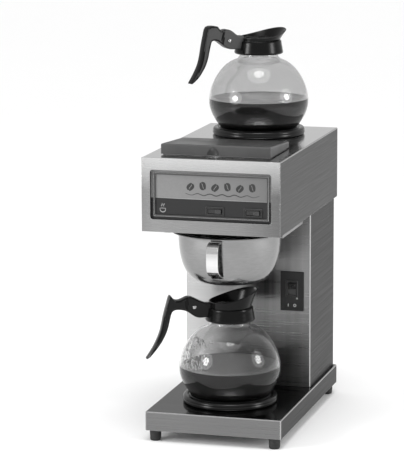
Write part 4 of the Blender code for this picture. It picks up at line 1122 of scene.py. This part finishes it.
def handle_ring(outer, inner, let_in):
    """One section of the handle, from its outer to its inner point."""
    across = HANDLE_HALF_WIDTH
    half = (outer - inner).length / 2
    corner = min(HANDLE_CORNER, half * 0.4)
    rim = max(HANDLE_RIM + corner * 0.3, corner * 1.05)
    side = [
        (0.0, half),
        (across - corner, half),
        (across - corner * 0.3, half - corner * 0.3),
        (across, half - corner),
        (across, half - rim),
        (across - let_in, half - rim - 0.55),
        (across - let_in, 0.0),
    ]
    outline = side + [(a, -b) for a, b in reversed(side[:-1])]
    outline += [(-a, b) for a, b in reversed(outline[1:-1])]
    centre = (outer + inner) / 2
    along = (outer - inner).normalized()
    return [(centre + along * b + Vector((0, a, 0))) * MM for a, b in outline]


def scaled_ring(ring, share):
    centre = sum(ring, Vector()) / len(ring)
    return [centre + (point - centre) * share for point in ring]


def colour_handle(piece, place):
    """Gives the let-in sides and the rims their own looks: painted light or shade on the sides,
    painted highlights on the rims.
    """
    sideways = place.to_3x3() @ Vector((0, 1, 0))
    outwards = place.to_3x3() @ Vector((-1, 0, 0))
    for polygon in piece.data.polygons:
        spot = polygon.center - place.translation
        facing = abs(polygon.normal.dot(sideways))
        let_in = abs(spot.dot(sideways)) < 7.5 * MM or spot.dot(outwards) < 66 * MM
        if let_in and facing > 0.9:
            polygon.material_index = HANDLE_SIDE_SLOT
        elif 0.4 < facing < 0.9 and not let_in:
            polygon.material_index = HANDLE_EDGE_SLOT


def dress_handle(name, place):
    """The moulded handle: rounded edges, and a side face let in between raised rims."""
    body = f"{name}_decanter"
    sections = HANDLE_SECTIONS[name]
    outers = curve_through([(a, b, 0) for a, b, _, _ in sections], HANDLE_STEPS)
    inners = curve_through([(c, d, 0) for _, _, c, d in sections], HANDLE_STEPS)
    last = len(outers) - 1
    rings = []
    for i, (outer, inner) in enumerate(zip(outers, inners)):
        started = min(max(i / HANDLE_STEPS - PANEL_START, 0.0), 1.0)
        left = min(max((last - PANEL_END - i) / PANEL_FADE, 0.0), 1.0)
        outer = Vector((-outer.x, 0, outer.y))
        inner = Vector((-inner.x, 0, inner.y))
        rings.append(handle_ring(outer, inner, PANEL_DEPTH * started * left))
    root = [point + HANDLE_ROOT for point in rings[0]]
    end = rings[-1]
    step = (sum(end, Vector()) - sum(rings[-2], Vector())) / len(end)
    tip = [point + step * 0.14 for point in scaled_ring(end, 0.9)]
    mesh = loft([root] + rings + [tip], True, place)
    looks = [HANDLE_BLACK, HANDLE_SIDES_PAINTED_LIGHT_AND_SHADE[name], HANDLE_EDGE_PAINTED_HIGHLIGHT]
    nodes = [f"{body}_handle"]
    piece = add_piece(
        f"{body}_handle_moulding", mesh, body, looks, nodes, 32
    )
    colour_handle(piece, place)
    at = place @ on_front(SCREW_PLACE)
    screw_head(f"{body}_screw_slotted", at, 3.0, 1.75, body, f"{body}_screw")


def dress_decanters():
    for name, surface in (("lower", BASE_TOP), ("upper", DECK)):
        at = middle(f"{name}_decanter_collar")
        turn = Matrix.Rotation(math.radians(HEADS[name]["turn"]), 4, "Z")
        place = Matrix.Translation((at.x, at.y, surface)) @ turn
        inside = dress_glass(name, place)
        if name == "lower":
            dress_droplets(name, place, inside)
        dress_collar(name, place)
        dress_spout(name, place)
        dress_handle(name, place)


dress_cabinet()
dress_feet()
dress_rear()
dress_warmers()
dress_panel()
dress_switches()
dress_lid()
dress_spray()
dress_basket()
dress_decanters()

# ---------------------------------------------------------------- studio


# The photograph's camera, from the middle of the head's front at floor height, in metres.
CAMERA_FROM_FRONT = Vector((0.98350507, -3.46181939, 1.00295218))
CAMERA_RIGHT = Vector((0.96119822, 0.27582714, -0.0041685))
CAMERA_UP = Vector((-0.0465662, 0.1771303, 0.98308517))
CAMERA_BACK = Vector((0.27189994, -0.9447456, 0.18310155))
CAMERA_LENS, CAMERA_SENSOR = 192.71, 36.0
LIGHTS_AIM_HEIGHT = 0.32
WORLD_STRENGTH = 0.68


def add_floor():
    """A plain pale floor under everything."""
    shape = bmesh.new()
    bmesh.ops.create_grid(shape, x_segments=8, y_segments=8, size=30.0)
    mesh = mesh_from(shape, "floor")
    floor = bpy.data.objects.new("floor", mesh)
    bpy.context.scene.collection.objects.link(floor)
    look = Look("floor", grey(0.93), 0.0, 0.85)
    look.vary_roughness(look.noise(3.0), 0.8, 0.9)
    mesh.materials.append(look.material)


def towards(right, up, back):
    """A direction given by the camera's own axes."""
    return (CAMERA_RIGHT * right + CAMERA_UP * up + CAMERA_BACK * back).normalized()


def add_light(name, kind, direction, energy, distance=2.2, **values):
    """A soft light that shines at the middle of the brewer from a direction."""
    data = bpy.data.lights.new(name, kind)
    data.energy = energy
    for key, value in values.items():
        setattr(data, key, value)
    light = bpy.data.objects.new(name, data)
    light.location = Vector((MIDDLE_X, 0, LIGHTS_AIM_HEIGHT)) + direction * distance
    light.rotation_mode = "QUATERNION"
    light.rotation_quaternion = direction.to_track_quat("Z", "Y")
    bpy.context.scene.collection.objects.link(light)


def add_studio():
    """A white room, a broad soft light overhead, and a softbox with a bright core on each side."""
    world = bpy.data.worlds.new("studio")
    world.use_nodes = True
    background = world.node_tree.nodes["Background"]
    background.inputs["Color"].default_value = (1.0, 1.0, 1.0, 1.0)
    background.inputs["Strength"].default_value = WORLD_STRENGTH
    bpy.context.scene.world = world
    bpy.context.scene.view_settings.view_transform = "Standard"
    overhead = towards(0.0, 0.89, 0.46)
    add_light("sky", "SUN", overhead, 0.8, angle=math.radians(46))
    add_light("sky_core", "SUN", overhead, 0.5, angle=math.radians(20))
    for name, direction, power in (
        ("left", towards(-0.82, 0.16, 0.52), 10),
        ("right", towards(0.90, 0.22, 0.37), 8),
    ):
        add_light(f"{name}_softbox", "AREA", direction, power, shape="DISK", size=1.3)
        add_light(f"{name}_core", "AREA", direction, power, 2.1, shape="DISK", size=0.55)


def add_camera():
    data = bpy.data.cameras.new("camera")
    data.lens = CAMERA_LENS
    data.sensor_width = CAMERA_SENSOR
    camera = bpy.data.objects.new("camera", data)
    right, up, back = CAMERA_RIGHT, CAMERA_UP, CAMERA_BACK
    place = Vector((MIDDLE_X, FRONT_Y, 0)) + CAMERA_FROM_FRONT
    camera.matrix_world = Matrix(
        (
            (right.x, up.x, back.x, place.x),
            (right.y, up.y, back.y, place.y),
            (right.z, up.z, back.z, place.z),
            (0, 0, 0, 1),
        )
    )
    bpy.context.scene.collection.objects.link(camera)
    bpy.context.scene.camera = camera


add_floor()
add_studio()
add_camera()
